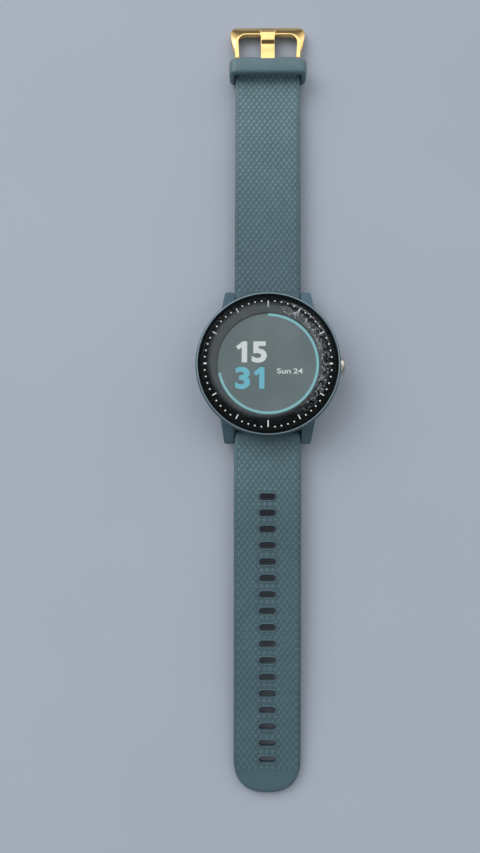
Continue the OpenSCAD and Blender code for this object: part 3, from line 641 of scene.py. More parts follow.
# %% Black printed ring on the glass's inner face
PRINT_LOW, PRINT_TOP, PRINT_IN, PRINT_OUT = glass_low[2], glass_low[2] + 0.022, 15.45, GLASS_R - 0.05
ring_outline = [(PRINT_IN, PRINT_LOW), (PRINT_OUT, PRINT_LOW), (PRINT_OUT, PRINT_TOP), (PRINT_IN, PRINT_TOP)]
printed_ring = turned("printed_ring", ring_outline, 192)


def ink(name, colour, glow=0.0):
    f = Finish(name)
    grain = f.noise(0.5, 2.0)
    base = f.mix(grain, scaled(colour, 0.92), colour)
    if glow:
        return f.surface(
            Base_Color=(0.02, 0.02, 0.02, 1), Roughness=0.4 + grain * 0.1, Emission_Color=base,
            Emission_Strength=glow, Specular_IOR_Level=0.1,
        )
    return f.surface(Base_Color=base, Roughness=0.5 + grain * 0.1, Specular_IOR_Level=0.05)


settle(printed_ring, "case", "display", ink("black_print", (0.006, 0.007, 0.008, 1)))


# %% Geometry nodes: a recipe with named inputs, and how a piece grows from it
class Recipe(Nodes):
    def __init__(self, name, **kinds):
        tree = bpy.data.node_groups.new(name, "GeometryNodeTree")
        super().__init__(tree)
        self.keys = {}
        for title, kind in kinds.items():
            socket = tree.interface.new_socket(title, in_out="INPUT", socket_type="NodeSocket" + kind)
            self.keys[title] = socket.identifier
        self.keys["Material"] = tree.interface.new_socket(
            "Material", in_out="INPUT", socket_type="NodeSocketMaterial",
        ).identifier
        tree.interface.new_socket("Geometry", in_out="OUTPUT", socket_type="NodeSocketGeometry")
        self.given = tree.nodes.new("NodeGroupInput")

    def take(self, title):
        return Wire(self, self.given.outputs[title])

    def triple(self, x=0.0, y=0.0, z=0.0):
        return self.node("ShaderNodeCombineXYZ", values={0: x, 1: y, 2: z})

    def part(self, vector, axis):
        return self.node("ShaderNodeSeparateXYZ", values={0: vector}, out=axis)

    def shape(self, title):
        return self.node("GeometryNodeObjectInfo", values={"Object": self.take(title)}, out="Geometry")

    def dropped_on(self, target, start):
        """Casts a ray straight down: whether it hits, where, and the surface's normal there."""
        values = {
            "Target Geometry": target, "Source Position": start, "Ray Direction": (0, 0, -1),
            "Ray Length": 0.1,
        }
        ray = self.node("GeometryNodeRaycast", values=values).socket.node
        return [Wire(self, ray.outputs[title]) for title in ("Is Hit", "Hit Position", "Hit Normal")]

    def standing_on(self, normal):
        return self.node("FunctionNodeAlignRotationToVector", {"axis": "Z"}, {"Vector": normal})

    def finish(self, geometry):
        real = self.node("GeometryNodeRealizeInstances", values={"Geometry": geometry})
        shown = self.node(
            "GeometryNodeSetMaterial", values={"Geometry": real, "Material": self.take("Material")},
        )
        self.node("NodeGroupOutput", values={"Geometry": shown})


def grow(recipe, name, smooth=SMOOTH, **values):
    piece = linked(name, bpy.data.meshes.new(name))
    step = piece.modifiers.new("recipe", "NODES")
    step.node_group = recipe.tree
    for title, value in values.items():
        step[recipe.keys[title]] = value
    mesh = evaluated_mesh(piece)
    piece.modifiers.clear()
    piece.data = mesh
    mesh.name = name
    dress(mesh, smooth, 1e-9)
    return piece


# %% The recipe for marks on a ring
def marks_recipe():
    r = Recipe(
        "marks_on_a_ring", Count="Int", Radius="Float", Level="Float", Turn="Float", Skip="Float",
        Mark="Object",
    )
    line = r.node("GeometryNodeMeshLine", values={"Count": r.take("Count")})
    number = r.node("GeometryNodeInputIndex") + 1.0
    angle = number * (2 * math.pi) / r.take("Count") + r.take("Turn")
    radius = r.take("Radius")
    place = r.triple(
        angle.math("COSINE", angle) * radius, angle.math("SINE", angle) * radius, r.take("Level"),
    )
    moved = r.node("GeometryNodeSetPosition", values={"Geometry": line, "Position": place})
    keep = (number % r.take("Skip")) > 0.5
    spin = r.node("FunctionNodeEulerToRotation", values={0: r.triple(z=angle)})
    r.finish(r.node(
        "GeometryNodeInstanceOnPoints",
        values={"Points": moved, "Selection": keep, "Instance": r.shape("Mark"), "Rotation": spin},
    ))
    return r


marks = marks_recipe()
print("recipe:", marks.tree.name, list(marks.keys))

# %% Minute dots, hour bars and quarter bars
# Painted light: the white marks glow, in place of the light that reaches them through the glass.
white_print = ink("white_print", tint(236, 240, 240), 1.25)
MARK_T = 0.018
never = 1e6


def bar_mark(length, width):
    return block(-length / 2, length / 2, -width / 2, width / 2, 0, MARK_T)


mark_sets = [
    ("minute_dots", disc(0.23, 0, MARK_T, steps=12), 60, 18.95, 0, 5.0),
    ("hour_bars", bar_mark(1.4, 0.30), 12, 18.4, 0, 3.0),
    ("bar_12", bar_mark(1.9, 0.34), 1, 18.05, 90, never),
    ("bar_6", bar_mark(2.0, 0.34), 1, 17.9, 270, never),
    ("bar_3", bar_mark(0.85, 0.5), 1, 18.75, 0, never),
    ("bar_9", bar_mark(0.85, 0.5), 1, 18.75, 180, never),
]
for name, mark, count, radius, turn, skip in mark_sets:
    piece = grow(
        marks, name, Count=count, Radius=radius * MM, Level=PRINT_TOP * MM,
        Turn=math.radians(turn), Skip=skip, Mark=mark, Material=white_print,
    )
    bpy.data.objects.remove(mark)
    settle(piece, "case", "display", white_print)

# %% [markdown]
# The display shows the time in two rows of large figures, a small date and an arc that fills round
# the edge through the day. The arc is a thin bar that follows a circle, which is one more recipe: a
# curve with a flat section. The figures are thin solids, since they are only read from the front:
# most are text, and the 1 is a plain outline, because its flag has to be broad. They glow by
# themselves, because a display makes its own light.

# %% The arc round the display
def arc_recipe():
    r = Recipe(
        "arc_bar", Radius="Float", Width="Float", Thickness="Float", Start="Float", Sweep="Float",
        Level="Float",
    )
    arc = r.node("GeometryNodeCurveArc", values={
        "Resolution": 160, "Radius": r.take("Radius"), "Start Angle": r.take("Start"),
        "Sweep Angle": r.take("Sweep"),
    })
    flat = {"Width": r.take("Width"), "Height": r.take("Thickness")}
    section = r.node("GeometryNodeCurvePrimitiveQuadrilateral", values=flat)
    bar = r.node(
        "GeometryNodeCurveToMesh", values={"Curve": arc, "Profile Curve": section, "Fill Caps": True},
    )
    lifted = r.node(
        "GeometryNodeTransform", values={"Geometry": bar, "Translation": r.triple(z=r.take("Level"))},
    )
    r.finish(lifted)
    return r


SHOWN_T, ARC_R, ARC_W, ARC_SWEEP = 0.03, 14.75, 0.80, 259
arc_light = ink("arc_light", tint(140, 200, 205), 1.10)
arc = grow(
    arc_recipe(), "progress_arc", Radius=ARC_R * MM, Width=ARC_W * MM, Thickness=SHOWN_T * MM,
    Start=math.radians(90 - ARC_SWEEP), Sweep=math.radians(ARC_SWEEP), Level=(PANEL_TOP + SHOWN_T / 2) * MM,
    Material=arc_light,
)
settle(arc, "case", "display", arc_light)


# %% Figures and date
TEXT_SMOOTH, BOLD = 30, 0.036


def fit(piece, x0, x1, y0, y1):
    """Scales a piece's mesh to fill a rectangle on the panel."""
    co = np.array([v.co for v in piece.data.vertices])
    low, high = co.min(0), co.max(0)
    want_low, want_high = np.array([x0, y0, PANEL_TOP]) * MM, np.array([x1, y1, PANEL_TOP + SHOWN_T]) * MM
    for v, c in zip(piece.data.vertices, co):
        v.co = want_low + (c - low) / (high - low) * (want_high - want_low)
    return piece


def written(words, bold):
    curve = bpy.data.curves.new(words, "FONT")
    curve.body, curve.offset, curve.extrude, curve.resolution_u = words, bold, 0.01, 6
    text = linked("text", curve)
    mesh = evaluated_mesh(text)
    bpy.data.objects.remove(text)
    dress(mesh, TEXT_SMOOTH)
    return linked("word", mesh)


def figure_one():
    plan = [(1.75, 0), (3.4, 0), (3.4, 6.4), (2.05, 6.4), (0, 4.85), (0.78, 3.82), (1.75, 4.58)]
    return lofted("one", [[(x, y, z) for x, y in plan] for z in (0, 1)], smooth=TEXT_SMOOTH)


def shown(name, parts, finish):
    piece = joined([fit(part, *place) for part, place in parts])
    piece.name = piece.data.name = name
    dress(piece.data, TEXT_SMOOTH)
    return settle(piece, "case", "display", finish)


white_light = ink("white_light", tint(220, 228, 228), 1.15)
blue_light = ink("blue_light", tint(118, 194, 214), 1.12)
shown("hours", [
    (figure_one(), (-9.6, -6.25, 0.35, 6.65)),
    (written("5", BOLD), (-4.9, -0.4, 0.25, 6.65)),
], white_light)
shown("minutes", [
    (written("3", BOLD), (-9.8, -5.4, -7.65, -1.05)),
    (figure_one(), (-4.3, -1.1, -7.55, -1.1)),
], blue_light)
shown("date", [
    (written("Sun", 0.016), (2.6, 6.7, -3.0, -1.45)),
    (written("24", 0.014), (7.5, 10.3, -3.0, -1.45)),
], white_light)

# %% [markdown]
# ## Straps
#
# A strap is one silicone moulding. Its underside and its thickness follow short rules along its
# length, its width follows the plan, and all its long edges are rounded. So it is a grid of points:
# rows along the strap, columns across it, and each point drops near the outline by the same round.
# That keeps the edge even at the tip too, where the plan curves in. A Bevel on a plain extrusion
# was the other choice, but it fails where the rounded tip gets narrow.

# %% Rules of a strap
BOSS_R, ROOT_T, STRAP_SMOOTH = 2.2, 4.4, 38
EDGE_TOP, EDGE_LOW, SINK, ROW_STEP = 1.05, 0.45, 0.12, 1.75


def strap_heights(v, length, end_z, bow, thickness, round_end):
    if v < 0:
        half = math.sqrt(max(BOSS_R ** 2 - v * v, 0))
        return BAR_Z - half, BAR_Z + half - SINK * (1 + v / BOSS_R)
    u = min(v / length, 1)
    low = (BAR_Z - BOSS_R) + (end_z - BAR_Z + BOSS_R) * u + 4 * bow * u * (1 - u)
    deep = thickness + (ROOT_T - thickness) * (1 - u) ** 6
    if round_end and v > length:
        half = math.sqrt(max((thickness / 2) ** 2 - (v - length) ** 2, 0))
        return low + thickness / 2 - half, low + thickness / 2 + half
    return low, low + deep - SINK


def to_outline(x, v, outline):
    a, b = outline[:-1], outline[1:]
    d = b - a
    p = np.array([abs(x), v])
    t = np.clip(((p - a) * d).sum(1) / (d * d).sum(1), 0, 1)
    return float(np.sqrt(((a + d * t[:, None] - p) ** 2).sum(1)).min())


def rounding(distance, radius):
    return radius - math.sqrt(radius ** 2 - (radius - distance) ** 2) if distance < radius else 0.0


# %% A strap body as rows of closed loops
def strap_body(name, end, rows, outline, heights):
    offsets = [0, 0.04, 0.14, 0.30, 0.50, 0.75, 1.05, 1.5, 3.5, 6.5]
    loops = []
    for v, half in rows:
        low, high = heights(v)
        thick = high - low
        top_r, low_r = min(EDGE_TOP, 0.42 * thick), min(EDGE_LOW, 0.30 * thick)
        shares = [half * 0.98 * k / len(offsets) for k in range(len(offsets))]
        xs = [half - (min(o, share) if half < 8 else o) for o, share in zip(offsets, shares)]
        across = [-x for x in xs] + xs[::-1]
        top = [(x, high - rounding(to_outline(x, v, outline), top_r)) for x in across]
        bottom = [(x, low + rounding(to_outline(x, v, outline), low_r)) for x in across[::-1]]
        loops.append([(x, end * (BAR_Y + v), z) for x, z in top + bottom])
    return lofted(name, loops, smooth=STRAP_SMOOTH)


root_outline = [(10.0, -BOSS_R), (10.0, 2.3), (10.06, 2.42), (10.19, 2.62), (10.25, 2.8)]
root_rows = [-BOSS_R * math.cos(math.radians(a)) for a in (4, 12, 22, 34, 48, 62, 76, 86)]
root_rows += [0, 0.8, 1.6, 2.3, 2.42, 2.62, 2.8, 3.2]


def rows_of(stations, outline):
    return [(v, float(np.interp(v, outline[:, 1], outline[:, 0]))) for v in stations]


# %% [markdown]
# The short strap ends in a tab round the buckle's pivot, split in the middle for the tongue. The
# long strap ends in a rounded tip and has a row of slots. Bores, the tab's split and the slots are
# cut with exact Booleans after the grid is made, so that their walls are clean.

# %% Short strap
SHORT_LEN, TAB_V, TAB_R = PIVOT_Y - BAR_Y, PIVOT_Y - BAR_Y - 1.7, 1.4
short_outline = np.array(root_outline + [
    (10.25, TAB_V - 0.5), (10.1, TAB_V - 0.15), (9.75, TAB_V), (9.0, TAB_V + 0.001), (9.0, SHORT_LEN + TAB_R),
])


def short_heights(v):
    return strap_heights(v, SHORT_LEN, PIVOT_Z - TAB_R, 0.95, 2 * TAB_R, True)


short_stations = root_rows + list(np.arange(4, 75, ROW_STEP))
short_stations += [75.1, TAB_V - 0.15, TAB_V, TAB_V + 0.001, 76.4, SHORT_LEN]
short_stations += [SHORT_LEN + TAB_R * math.sin(math.radians(a)) for a in (18, 36, 54, 70, 84)]
short_rows = rows_of(sorted(short_stations), short_outline)
short_strap = strap_body("short_strap_body", 1, short_rows, short_outline, short_heights)


def root_cuts(end):
    y = end * BAR_Y
    return [rod(-12, 12, 0.92, y, BAR_Z), block(4.9, 8.5, y - 1, y + 1, -1, BAR_Z)]


tab_split = block(-2.4, 2.4, PIVOT_Y - 2.1, PIVOT_Y + 3, -1, 8)
carve(short_strap, root_cuts(1) + [rod(-12, 12, 0.80, PIVOT_Y, PIVOT_Z), tab_split], smooth=STRAP_SMOOTH)
settle(short_strap, "short_strap", "silicone", rubber_groove_shade, "short_strap")

# %% Long strap with its slots
LONG_LEN, TIP_LEN, TIP_HALF = 105.6, 10.5, 10.0
BELOW, ABOVE = -2, 9     # heights that clear the whole strap
SLOTS, SLOT_PITCH, SLOT_START, SLOT_W, SLOT_L = 17, 4.85, 18.0, 5.1, 2.0
tip_angles = np.radians([0, 8, 16, 24, 32, 40, 48, 55, 62, 68, 74, 79, 83, 86])
tip = [(TIP_HALF * math.cos(a) ** 0.8, LONG_LEN - TIP_LEN + TIP_LEN * math.sin(a) ** 0.8) for a in tip_angles]
long_outline = np.array(root_outline + tip + [(0.0, LONG_LEN)])


def long_heights(v):
    return strap_heights(v, LONG_LEN, 0.0, 1.9, 2.6, False)


long_stations = root_rows + list(np.arange(4.2, 94, ROW_STEP)) + [v for _, v in tip]
long_rows = rows_of(sorted(long_stations), long_outline) + [(LONG_LEN - 0.002, 0.55)]
long_strap = strap_body("long_strap_body", -1, long_rows, long_outline, long_heights)


def slot_loop(grow_by, z, y=0.0, steps=10):
    reach, r = (SLOT_W - SLOT_L) / 2, SLOT_L / 2 + grow_by
    loop = []
    for side, start in ((1, -90), (-1, 90)):
        for a in np.radians(np.linspace(start, start + 180, steps)):
            loop.append((side * reach + r * math.cos(a), y + r * math.sin(a), z))
    return loop


slot_rows = [-(BAR_Y + SLOT_START + i * SLOT_PITCH) for i in range(SLOTS)]
slot_cutters = [lofted("slot", [slot_loop(0, z, y) for z in (BELOW, ABOVE)]) for y in slot_rows]
long_walls = [c.copy() for c in slot_cutters]
for wall in long_walls:
    wall.data = wall.data.copy()
carve(long_strap, root_cuts(-1) + slot_cutters, smooth=STRAP_SMOOTH)
settle(long_strap, "long_strap", "silicone", rubber_groove_shade, "long_strap")

# %% [markdown]
# ## Raised diamonds and slot lips
#
# The straps' top is covered with small raised diamonds in staggered rows, and each slot has a
# smooth raised lip. Both repeat, so geometry nodes lay them: a grid is staggered, dropped onto the
# strap by a ray cast, thinned where an outline is close, and each point gets a diamond that leans
# with the surface. A bump texture would be lighter, but the pattern would vanish at the edges and
# in the mesh.

# %% One diamond and one slot lip
GEM_SMOOTH = 20


def diamond(half_x, half_y, rise):
    levels = [(1.0, 1.0, -0.10), (0.93, 0.93, 0.02), (0.66, 0.66, 0.72 * rise), (0.34, 0.459, rise)]
    loops = []
    for wide, deep, z in levels:
        x, y = half_x * wide, half_y * deep
        loops.append([(x, 0, z), (0, y, z), (-x, 0, z), (0, -y, z)])
    piece = lofted("diamond", loops, smooth=GEM_SMOOTH)
    # Tops and upper slopes are marked here, and the diamond finish paints a highlight on them.
    crest = piece.data.attributes.new("crest", "FLOAT", "POINT")
    heights = [v.co.z / (rise * MM) for v in piece.data.vertices]
    crest.data.foreach_set("value", [1.0 if h > 0.95 else 0.25 if h > 0.5 else 0.0 for h in heights])
    return piece


def lip(width, rise):
    loops = []
    for a in np.linspace(0, 2 * math.pi, 9)[:-1]:
        loops.append(slot_loop(width / 2 + width / 2 * math.cos(a) + 0.001, rise * math.sin(a), steps=8))
    return lofted("lip", loops, ring=True)


# %% Outlines that the diamonds keep clear of
def outline_wall(outline, end):
    points, faces = [], []
    for side in (-1, 1):
        start = len(points)
        points += [(side * x, end * (BAR_Y + v), z) for x, v in outline for z in (BELOW, ABOVE)]
        faces += [[k, k + 2, k + 3, k + 1] for k in range(start, len(points) - 2, 2)]
    return solid("wall", points, faces)


# %% The recipe for diamonds
RAY_FROM = 0.02     # metres, above every strap


def diamonds_recipe():
    r = Recipe(
        "raised_diamonds", Strap="Object", Clear="Object", Diamond="Object", Across="Float", Along="Float",
        Columns="Int", Rows="Int", Middle="Float", Margin="Float",
    )
    across, along = r.take("Across"), r.take("Along")
    columns, rows = r.take("Columns"), r.take("Rows")
    grid = r.node("GeometryNodeMeshGrid", values={
        "Size X": across * (columns - 1.0), "Size Y": along * 0.5 * (rows - 1.0), "Vertices X": columns,
        "Vertices Y": rows,
    })
    here = r.node("GeometryNodeInputPosition")
    row = r.part(here, 1) / (along * 0.5) + (rows - 1.0) * 0.5 + 0.5
    odd = row.math("FLOOR", row) % 2.0
    shifted = r.triple(r.part(here, 0) + odd * across * 0.5, r.part(here, 1) + r.take("Middle"), 0.0)
    staggered = r.node("GeometryNodeSetPosition", values={"Geometry": grid, "Position": shifted})
    over = r.triple(r.part(here, 0), r.part(here, 1), RAY_FROM)
    found, hit, lean = r.dropped_on(r.shape("Strap"), over)
    near = r.node(
        "GeometryNodeProximity", values={0: r.shape("Clear"), "Source Position": hit}, out="Distance",
    )
    kept = found * (near > r.take("Margin")) * (r.part(lean, 2) > 0.9)
    dropped = r.node(
        "GeometryNodeSetPosition", values={"Geometry": staggered, "Selection": kept, "Position": hit},
    )
    room = (near - 0.35 * MM) / (0.8 * MM)
    narrow = room.math("MINIMUM", room, 1.0)
    r.finish(r.node("GeometryNodeInstanceOnPoints", values={
        "Points": dropped, "Selection": kept, "Instance": r.shape("Diamond"), "Rotation": r.standing_on(lean),
        "Scale": r.triple(narrow, narrow, 1.0),
    }))
    return r


raised = diamonds_recipe()

# %% Grow the diamonds on both straps
ACROSS, ALONG, RISE = 1.71, 2.32, 0.15
gem = diamond(0.47 * ACROSS, 0.47 * ALONG, RISE)
tab_wall = block(-9.6, 9.6, BAR_Y + 75.2, BAR_Y + 80, BELOW, ABOVE)
tip_wall = block(-9, 9, -(BAR_Y + 101.5), -(BAR_Y + 99.8), BELOW, ABOVE)
clear_short = joined([outline_wall(short_outline[:6], 1), tab_wall])
clear_long = joined([outline_wall(long_outline, -1), tip_wall] + long_walls)
for name, strap, clear, end, length in (
    ("short_strap_diamonds", short_strap, clear_short, 1, 74.2),
    ("long_strap_diamonds", long_strap, clear_long, -1, 98.0),
):
    rows = int(length / (ALONG / 2))
    piece = grow(
        raised, name, smooth=GEM_SMOOTH, Strap=strap, Clear=clear, Diamond=gem, Across=ACROSS * MM,
        Along=ALONG * MM, Columns=13,
        Rows=rows, Middle=end * (BAR_Y + 0.9 + length / 2) * MM, Margin=0.70 * MM, Material=rubber_crest_highlight,
    )
    bpy.data.objects.remove(clear)
    settle(piece, strap.name.replace("_body", ""), "silicone", rubber_crest_highlight)
bpy.data.objects.remove(gem)


# %% The recipe for slot lips, and the lips
def lips_recipe():
    r = Recipe(
        "slot_lips", Strap="Object", Lip="Object", Count="Int", Start="Float", Pitch="Float", Aside="Float",
    )
    line = r.node("GeometryNodeMeshLine", values={
        "Count": r.take("Count"), "Start Location": r.triple(y=r.take("Start")),
        "Offset": r.triple(y=r.take("Pitch")),
    })
    along = r.part(r.node("GeometryNodeInputPosition"), 1)
    _, hit, lean = r.dropped_on(r.shape("Strap"), r.triple(r.take("Aside"), along, RAY_FROM))
    place = r.triple(0.0, along, r.part(hit, 2))
    placed = r.node("GeometryNodeSetPosition", values={"Geometry": line, "Position": place})
    r.finish(r.node("GeometryNodeInstanceOnPoints", values={
        "Points": placed, "Instance": r.shape("Lip"), "Rotation": r.standing_on(lean),
    }))
    return r


lip_shape = lip(0.42, 0.17)
slot_lips = grow(
    lips_recipe(), "slot_lips", smooth=50, Strap=long_strap, Lip=lip_shape, Count=SLOTS,
    Start=-(BAR_Y + SLOT_START) * MM,
    Pitch=-SLOT_PITCH * MM, Aside=4.2 * MM, Material=rubber,
)
bpy.data.objects.remove(lip_shape)
settle(slot_lips, "long_strap", "silicone", rubber)

# %% [markdown]
# ## Keeper loop
#
# The keeper is a moulded band that slides on the strap. Its outside is a rounded rectangle that is
# slightly crowned along the strap, its hole is a smaller rectangle nearer the top, and its rims
# are rounded. It is lofted round the loop: at each point of the loop stands the same small rounded
# section, stretched between the outside and the hole.

# %% Keeper from two rounded rectangles and a section
def rounded_path(half_w, z0, z1, radius, per_corner=9, per_side=4):
    x, low, high = half_w - radius, z0 + radius, z1 - radius
    corners = [(x, high), (-x, high), (-x, low), (x, low)]

    def on_corner(k, degrees):
        a = math.radians(degrees)
        return np.array([corners[k][0] + radius * math.cos(a), corners[k][1] + radius * math.sin(a)])
    path = []
    for k in range(4):
        path += [on_corner(k, a) for a in np.linspace(90 * k, 90 * k + 90, per_corner)]
        last, follow = path[-1], on_corner((k + 1) % 4, 90 * ((k + 1) % 4))
        path += [last * (1 - t) + follow * t for t in np.linspace(0, 1, per_side + 2)[1:-1]]
    return path


KEEPER_Y = (keeper_low[1] + keeper_high[1]) / 2
KEEPER_HALF, KEEPER_WALL, KEEPER_FLOOR = (keeper_high[1] - keeper_low[1]) / 2, 1.7, 1.3
outer_path = rounded_path(keeper_high[0], keeper_low[2], keeper_high[2], 2.4)
inner_path = rounded_path(keeper_high[0] - KEEPER_WALL, KEEPER_FLOOR, keeper_high[2] - KEEPER_WALL, 0.8)
section = []
for y0, depth0, start, r in ((1, 0, 90, 0.75), (1, 1, 0, 0.30), (-1, 1, -90, 0.30), (-1, 0, -180, 0.75)):
    for a in np.radians(np.linspace(start, start - 90, 6)):
        y = y0 * (KEEPER_HALF - r) + r * math.cos(a)
        depth = r * (1 - math.sin(a)) if depth0 == 0 else -r * (1 + math.sin(a))
        section.append((y, depth0, depth))
section += [(y, 0, 0.0) for y in (-1.2, -0.4, 0.4, 1.2)]
loops = []
for out, hole in zip(outer_path, inner_path):
    inward = (hole - out) / np.linalg.norm(hole - out)
    loop = []
    for y, at_hole, depth in section:
        crown = 0.0 if at_hole else 0.16 * (y / KEEPER_HALF) ** 2
        p = (hole if at_hole else out) + inward * (depth + crown)
        loop.append((p[0], KEEPER_Y + y, p[1]))
    loops.append(loop)
keeper = lofted("keeper", loops, ring=True, smooth=45)
keeper_rubber = silicone("keeper_rubber", rough=0.34, k=0.92)
settle(keeper, "keeper", "silicone", keeper_rubber, "keeper_loop")

# %% [markdown]
# ## Buckle
#
# The buckle is a bent frame: two ears on the pivot bar, two arms that spread a little, rounded
# corners and a far bar with a shallow notch for the tongue. Along the far bar only a thin ridge
# on the inside is flat, and the rest slopes down to the outer edge. So the frame is a section
# swept from ear to ear, whose inner and outer edges follow two plans and whose slope grows from
# the arms to the bar. It lies tilted on its pivot, and a small function turns flat points so.

# %% Plan of the frame's inner and outer edge
FAR_U, FAR_IN, FAR_HALF, UP, DOWN, EAR_R = 12.3, 9.2, 11.85, 1.2, 1.4, 1.4
TILT = math.asin(PIVOT_Z / math.hypot(FAR_U, DOWN)) - math.atan2(DOWN, FAR_U)


def tilted(x, u, v):
    cos, sin = math.cos(TILT), math.sin(TILT)
    return (x, PIVOT_Y + u * cos + v * sin, PIVOT_Z - u * sin + v * cos)


def eased(t):
    t = min(max(t, 0), 1)
    return t * t * (3 - 2 * t)


def resampled(path, count):
    path = np.array(path, float)
    run = np.r_[0, np.cumsum(np.linalg.norm(np.diff(path, axis=0), axis=1))]
    return [[float(np.interp(s, run, path[:, k])) for k in (0, 1)] for s in np.linspace(0, run[-1], count)]


ARM_FLAT, RIDGE_FLAT, ARM_DROP, BAR_DROP = 1.05, 0.50, 0.35, 0.78
EAR_IN, EAR_OUT, BAR_TURN_IN, BAR_TURN_OUT = 9.15, 10.35, 6.9, 7.6
stations = []
for a in (84, 70, 55, 40, 25, 10, 0):
    h, u = EAR_R * math.cos(math.radians(a)), -EAR_R * math.sin(math.radians(a))
    stations.append(((EAR_IN, u), (EAR_OUT, u), h, -h, 1.0, 0.0, 0.0))
for u in (0.36, 0.72):
    h = max(math.sqrt(EAR_R ** 2 - u * u), UP)
    stations.append(((EAR_IN, u), (EAR_OUT, u), h, -h, 0.95, 0.10, 0.0))
for u in (1.2, 1.7, 2.6, 3.6, 4.6, 5.6):
    spread = max(0, u - 1.7)
    drop = ARM_DROP * (0.5 + 0.5 * min(1, spread / 2))
    stations.append(
        ((EAR_IN + spread * 0.05, u), (EAR_OUT + spread * 0.235, u), UP, -UP, ARM_FLAT, drop, 0.0)
    )
corner_n = 18
inner_arc = [
    (BAR_TURN_IN + 2.5 * math.cos(a), 6.7 + 2.5 * math.sin(a)) for a in np.linspace(0, math.pi / 2, corner_n)
]
outer_arc = [
    (FAR_HALF - 2 + 2 * math.cos(a), FAR_U - 2 + 2 * math.sin(a)) for a in np.linspace(0, math.pi / 2, 24)
]
outer_run = resampled([(11.5, 6.6), (FAR_HALF - 0.03, 8.2)] + outer_arc + [(BAR_TURN_OUT, FAR_U)], corner_n)
for k in range(corner_n):
    t = k / (corner_n - 1)
    s = eased(1.6 * t)
    stations.append((
        inner_arc[k], outer_run[k], UP, -UP - (DOWN - UP) * min(1, 2 * t),
        ARM_FLAT + (RIDGE_FLAT - ARM_FLAT) * s, ARM_DROP + (BAR_DROP - ARM_DROP) * s, s,
    ))
for t in (0.25, 0.5, 0.75, 1.0):
    inner, outer = (BAR_TURN_IN * (1 - t), FAR_IN), (BAR_TURN_OUT * (1 - t), FAR_U)
    stations.append((inner, outer, UP, -DOWN, RIDGE_FLAT, BAR_DROP, 1.0))
print("buckle stations", len(stations), "tilt", round(math.degrees(TILT), 2))

# %% Sweep the frame, then cut its bore and its notch
def frame_section(side, inner, outer, top, bottom, flat, drop, under):
    inner, outer = np.array(inner, float), np.array(outer, float)
    width = np.linalg.norm(outer - inner)
    r = min(0.14, width * 0.2)
    e = min(r, (top - bottom) * 0.2)
    slope_top = top - drop
    cut_up, cut_in = under * (top - bottom) * 0.45, under * width * 0.35
    steps = [
        (0, bottom + e + cut_up), (0, top - 0.9 * e), (0.3 * r, top - 0.25 * e), (r, top),
        (flat - 0.5 * r, top),
        (flat + 0.5 * r, top - 0.25 * e), (width - r, slope_top), (width - 0.25 * r, slope_top - 0.5 * e),
        (width, slope_top - 1.4 * e), (width, bottom + e), (width - r, bottom), (r + cut_in, bottom),
    ]
    loop = []
    for across, v in steps:
        p = inner + (outer - inner) * across / width
        loop.append(tilted(side * p[0], p[1], v))
    return loop


loops = [frame_section(1, *s) for s in stations]
loops += [frame_section(-1, *s) for s in stations[-2::-1]]
buckle = lofted("buckle", loops, smooth=24)


def tilted_block(x0, x1, u0, u1, v0, v1):
    corners = [(x0, u0), (x1, u0), (x1, u1), (x0, u1)]
    return lofted("block", [[tilted(x, u, v) for x, u in corners] for v in (v0, v1)])


carve(
    buckle, [rod(-12, 12, 0.77, PIVOT_Y, PIVOT_Z), tilted_block(-2.4, 2.4, 8.6, 13, UP - 0.5, 3)], smooth=24,
)
settle(buckle, "buckle", "gold_finish", buckle_gold, "buckle_frame")

# %% [markdown]
# The tongue is a strip bent round the pivot bar. It sinks a little, steps up in an S and ends
# in the notch. Its side view is one closed outline, so it is lofted across from side view to side
# view, with the last two drawn in a little for rounded rims, and the plan rounds its end.

# %% Tongue
LOOP_R, TONGUE_HALF, TONGUE_T, TONGUE_END = 1.35, 2.2, 0.85, 11.2


def step_up(u):
    return 0.55 * eased((u - 5.5) / 1.9) - 0.25 * eased((u - 1.5) / 4.0)


def tongue_outline():
    loop = [(LOOP_R * math.cos(a), LOOP_R * math.sin(a)) for a in np.radians(np.linspace(90, 338, 26))]
    low, high = LOOP_R - TONGUE_T, LOOP_R
    along = [1.5, 2.2, 3, 3.8, 4.6, 5.2] + list(np.linspace(5.5, 7.4, 12)) + [8.0, 9.2]
    loop += [(u + 0.1, low + step_up(u)) for u in along + [10.4]]
    loop += [(TONGUE_END - 0.1, low + 0.30), (TONGUE_END, low + 0.38), (TONGUE_END, low + 0.50)]
    loop += [(TONGUE_END - 0.1, low + 0.60)]
    loop += [(10.05, high + 0.22), (9.85, high + 0.29), (9.65, high + 0.30)]
    loop += [(u - 0.1, high + step_up(u)) for u in along[::-1]]
    return np.array(loop)


def drawn_in(loop, by):
    def unit(v):
        return v / np.linalg.norm(v, axis=1)[:, None]
    t = unit(unit(np.roll(loop, -1, 0) - loop) + unit(loop - np.roll(loop, 1, 0)))
    return loop + np.stack([-t[:, 1], t[:, 0]], 1) * by


def half_at(u):
    return TONGUE_HALF - (rounding(max(TONGUE_END - u, 0), 0.9) if u > TONGUE_END - 0.9 else 0)


side_view = tongue_outline()
loops = []
for share, by in ((-1, 0.13), (-0.985, 0.05), (-0.94, 0), (0.94, 0), (0.985, 0.05), (1, 0.13)):
    loops.append([tilted(share * half_at(u), u, v) for u, v in drawn_in(side_view, by)])
tongue = lofted("tongue", loops, smooth=24)
carve(tongue, [rod(-4, 4, 0.80, PIVOT_Y, PIVOT_Z)], smooth=24)
settle(tongue, "tongue", "gold_finish", buckle_gold, "buckle_tongue")

# %% [markdown]
# ## Button
#
# The button is a turned cap on a steel stem. Its face is very slightly domed inside a fine step, and
# its rim is rounded, so that the light draws one ring on it.

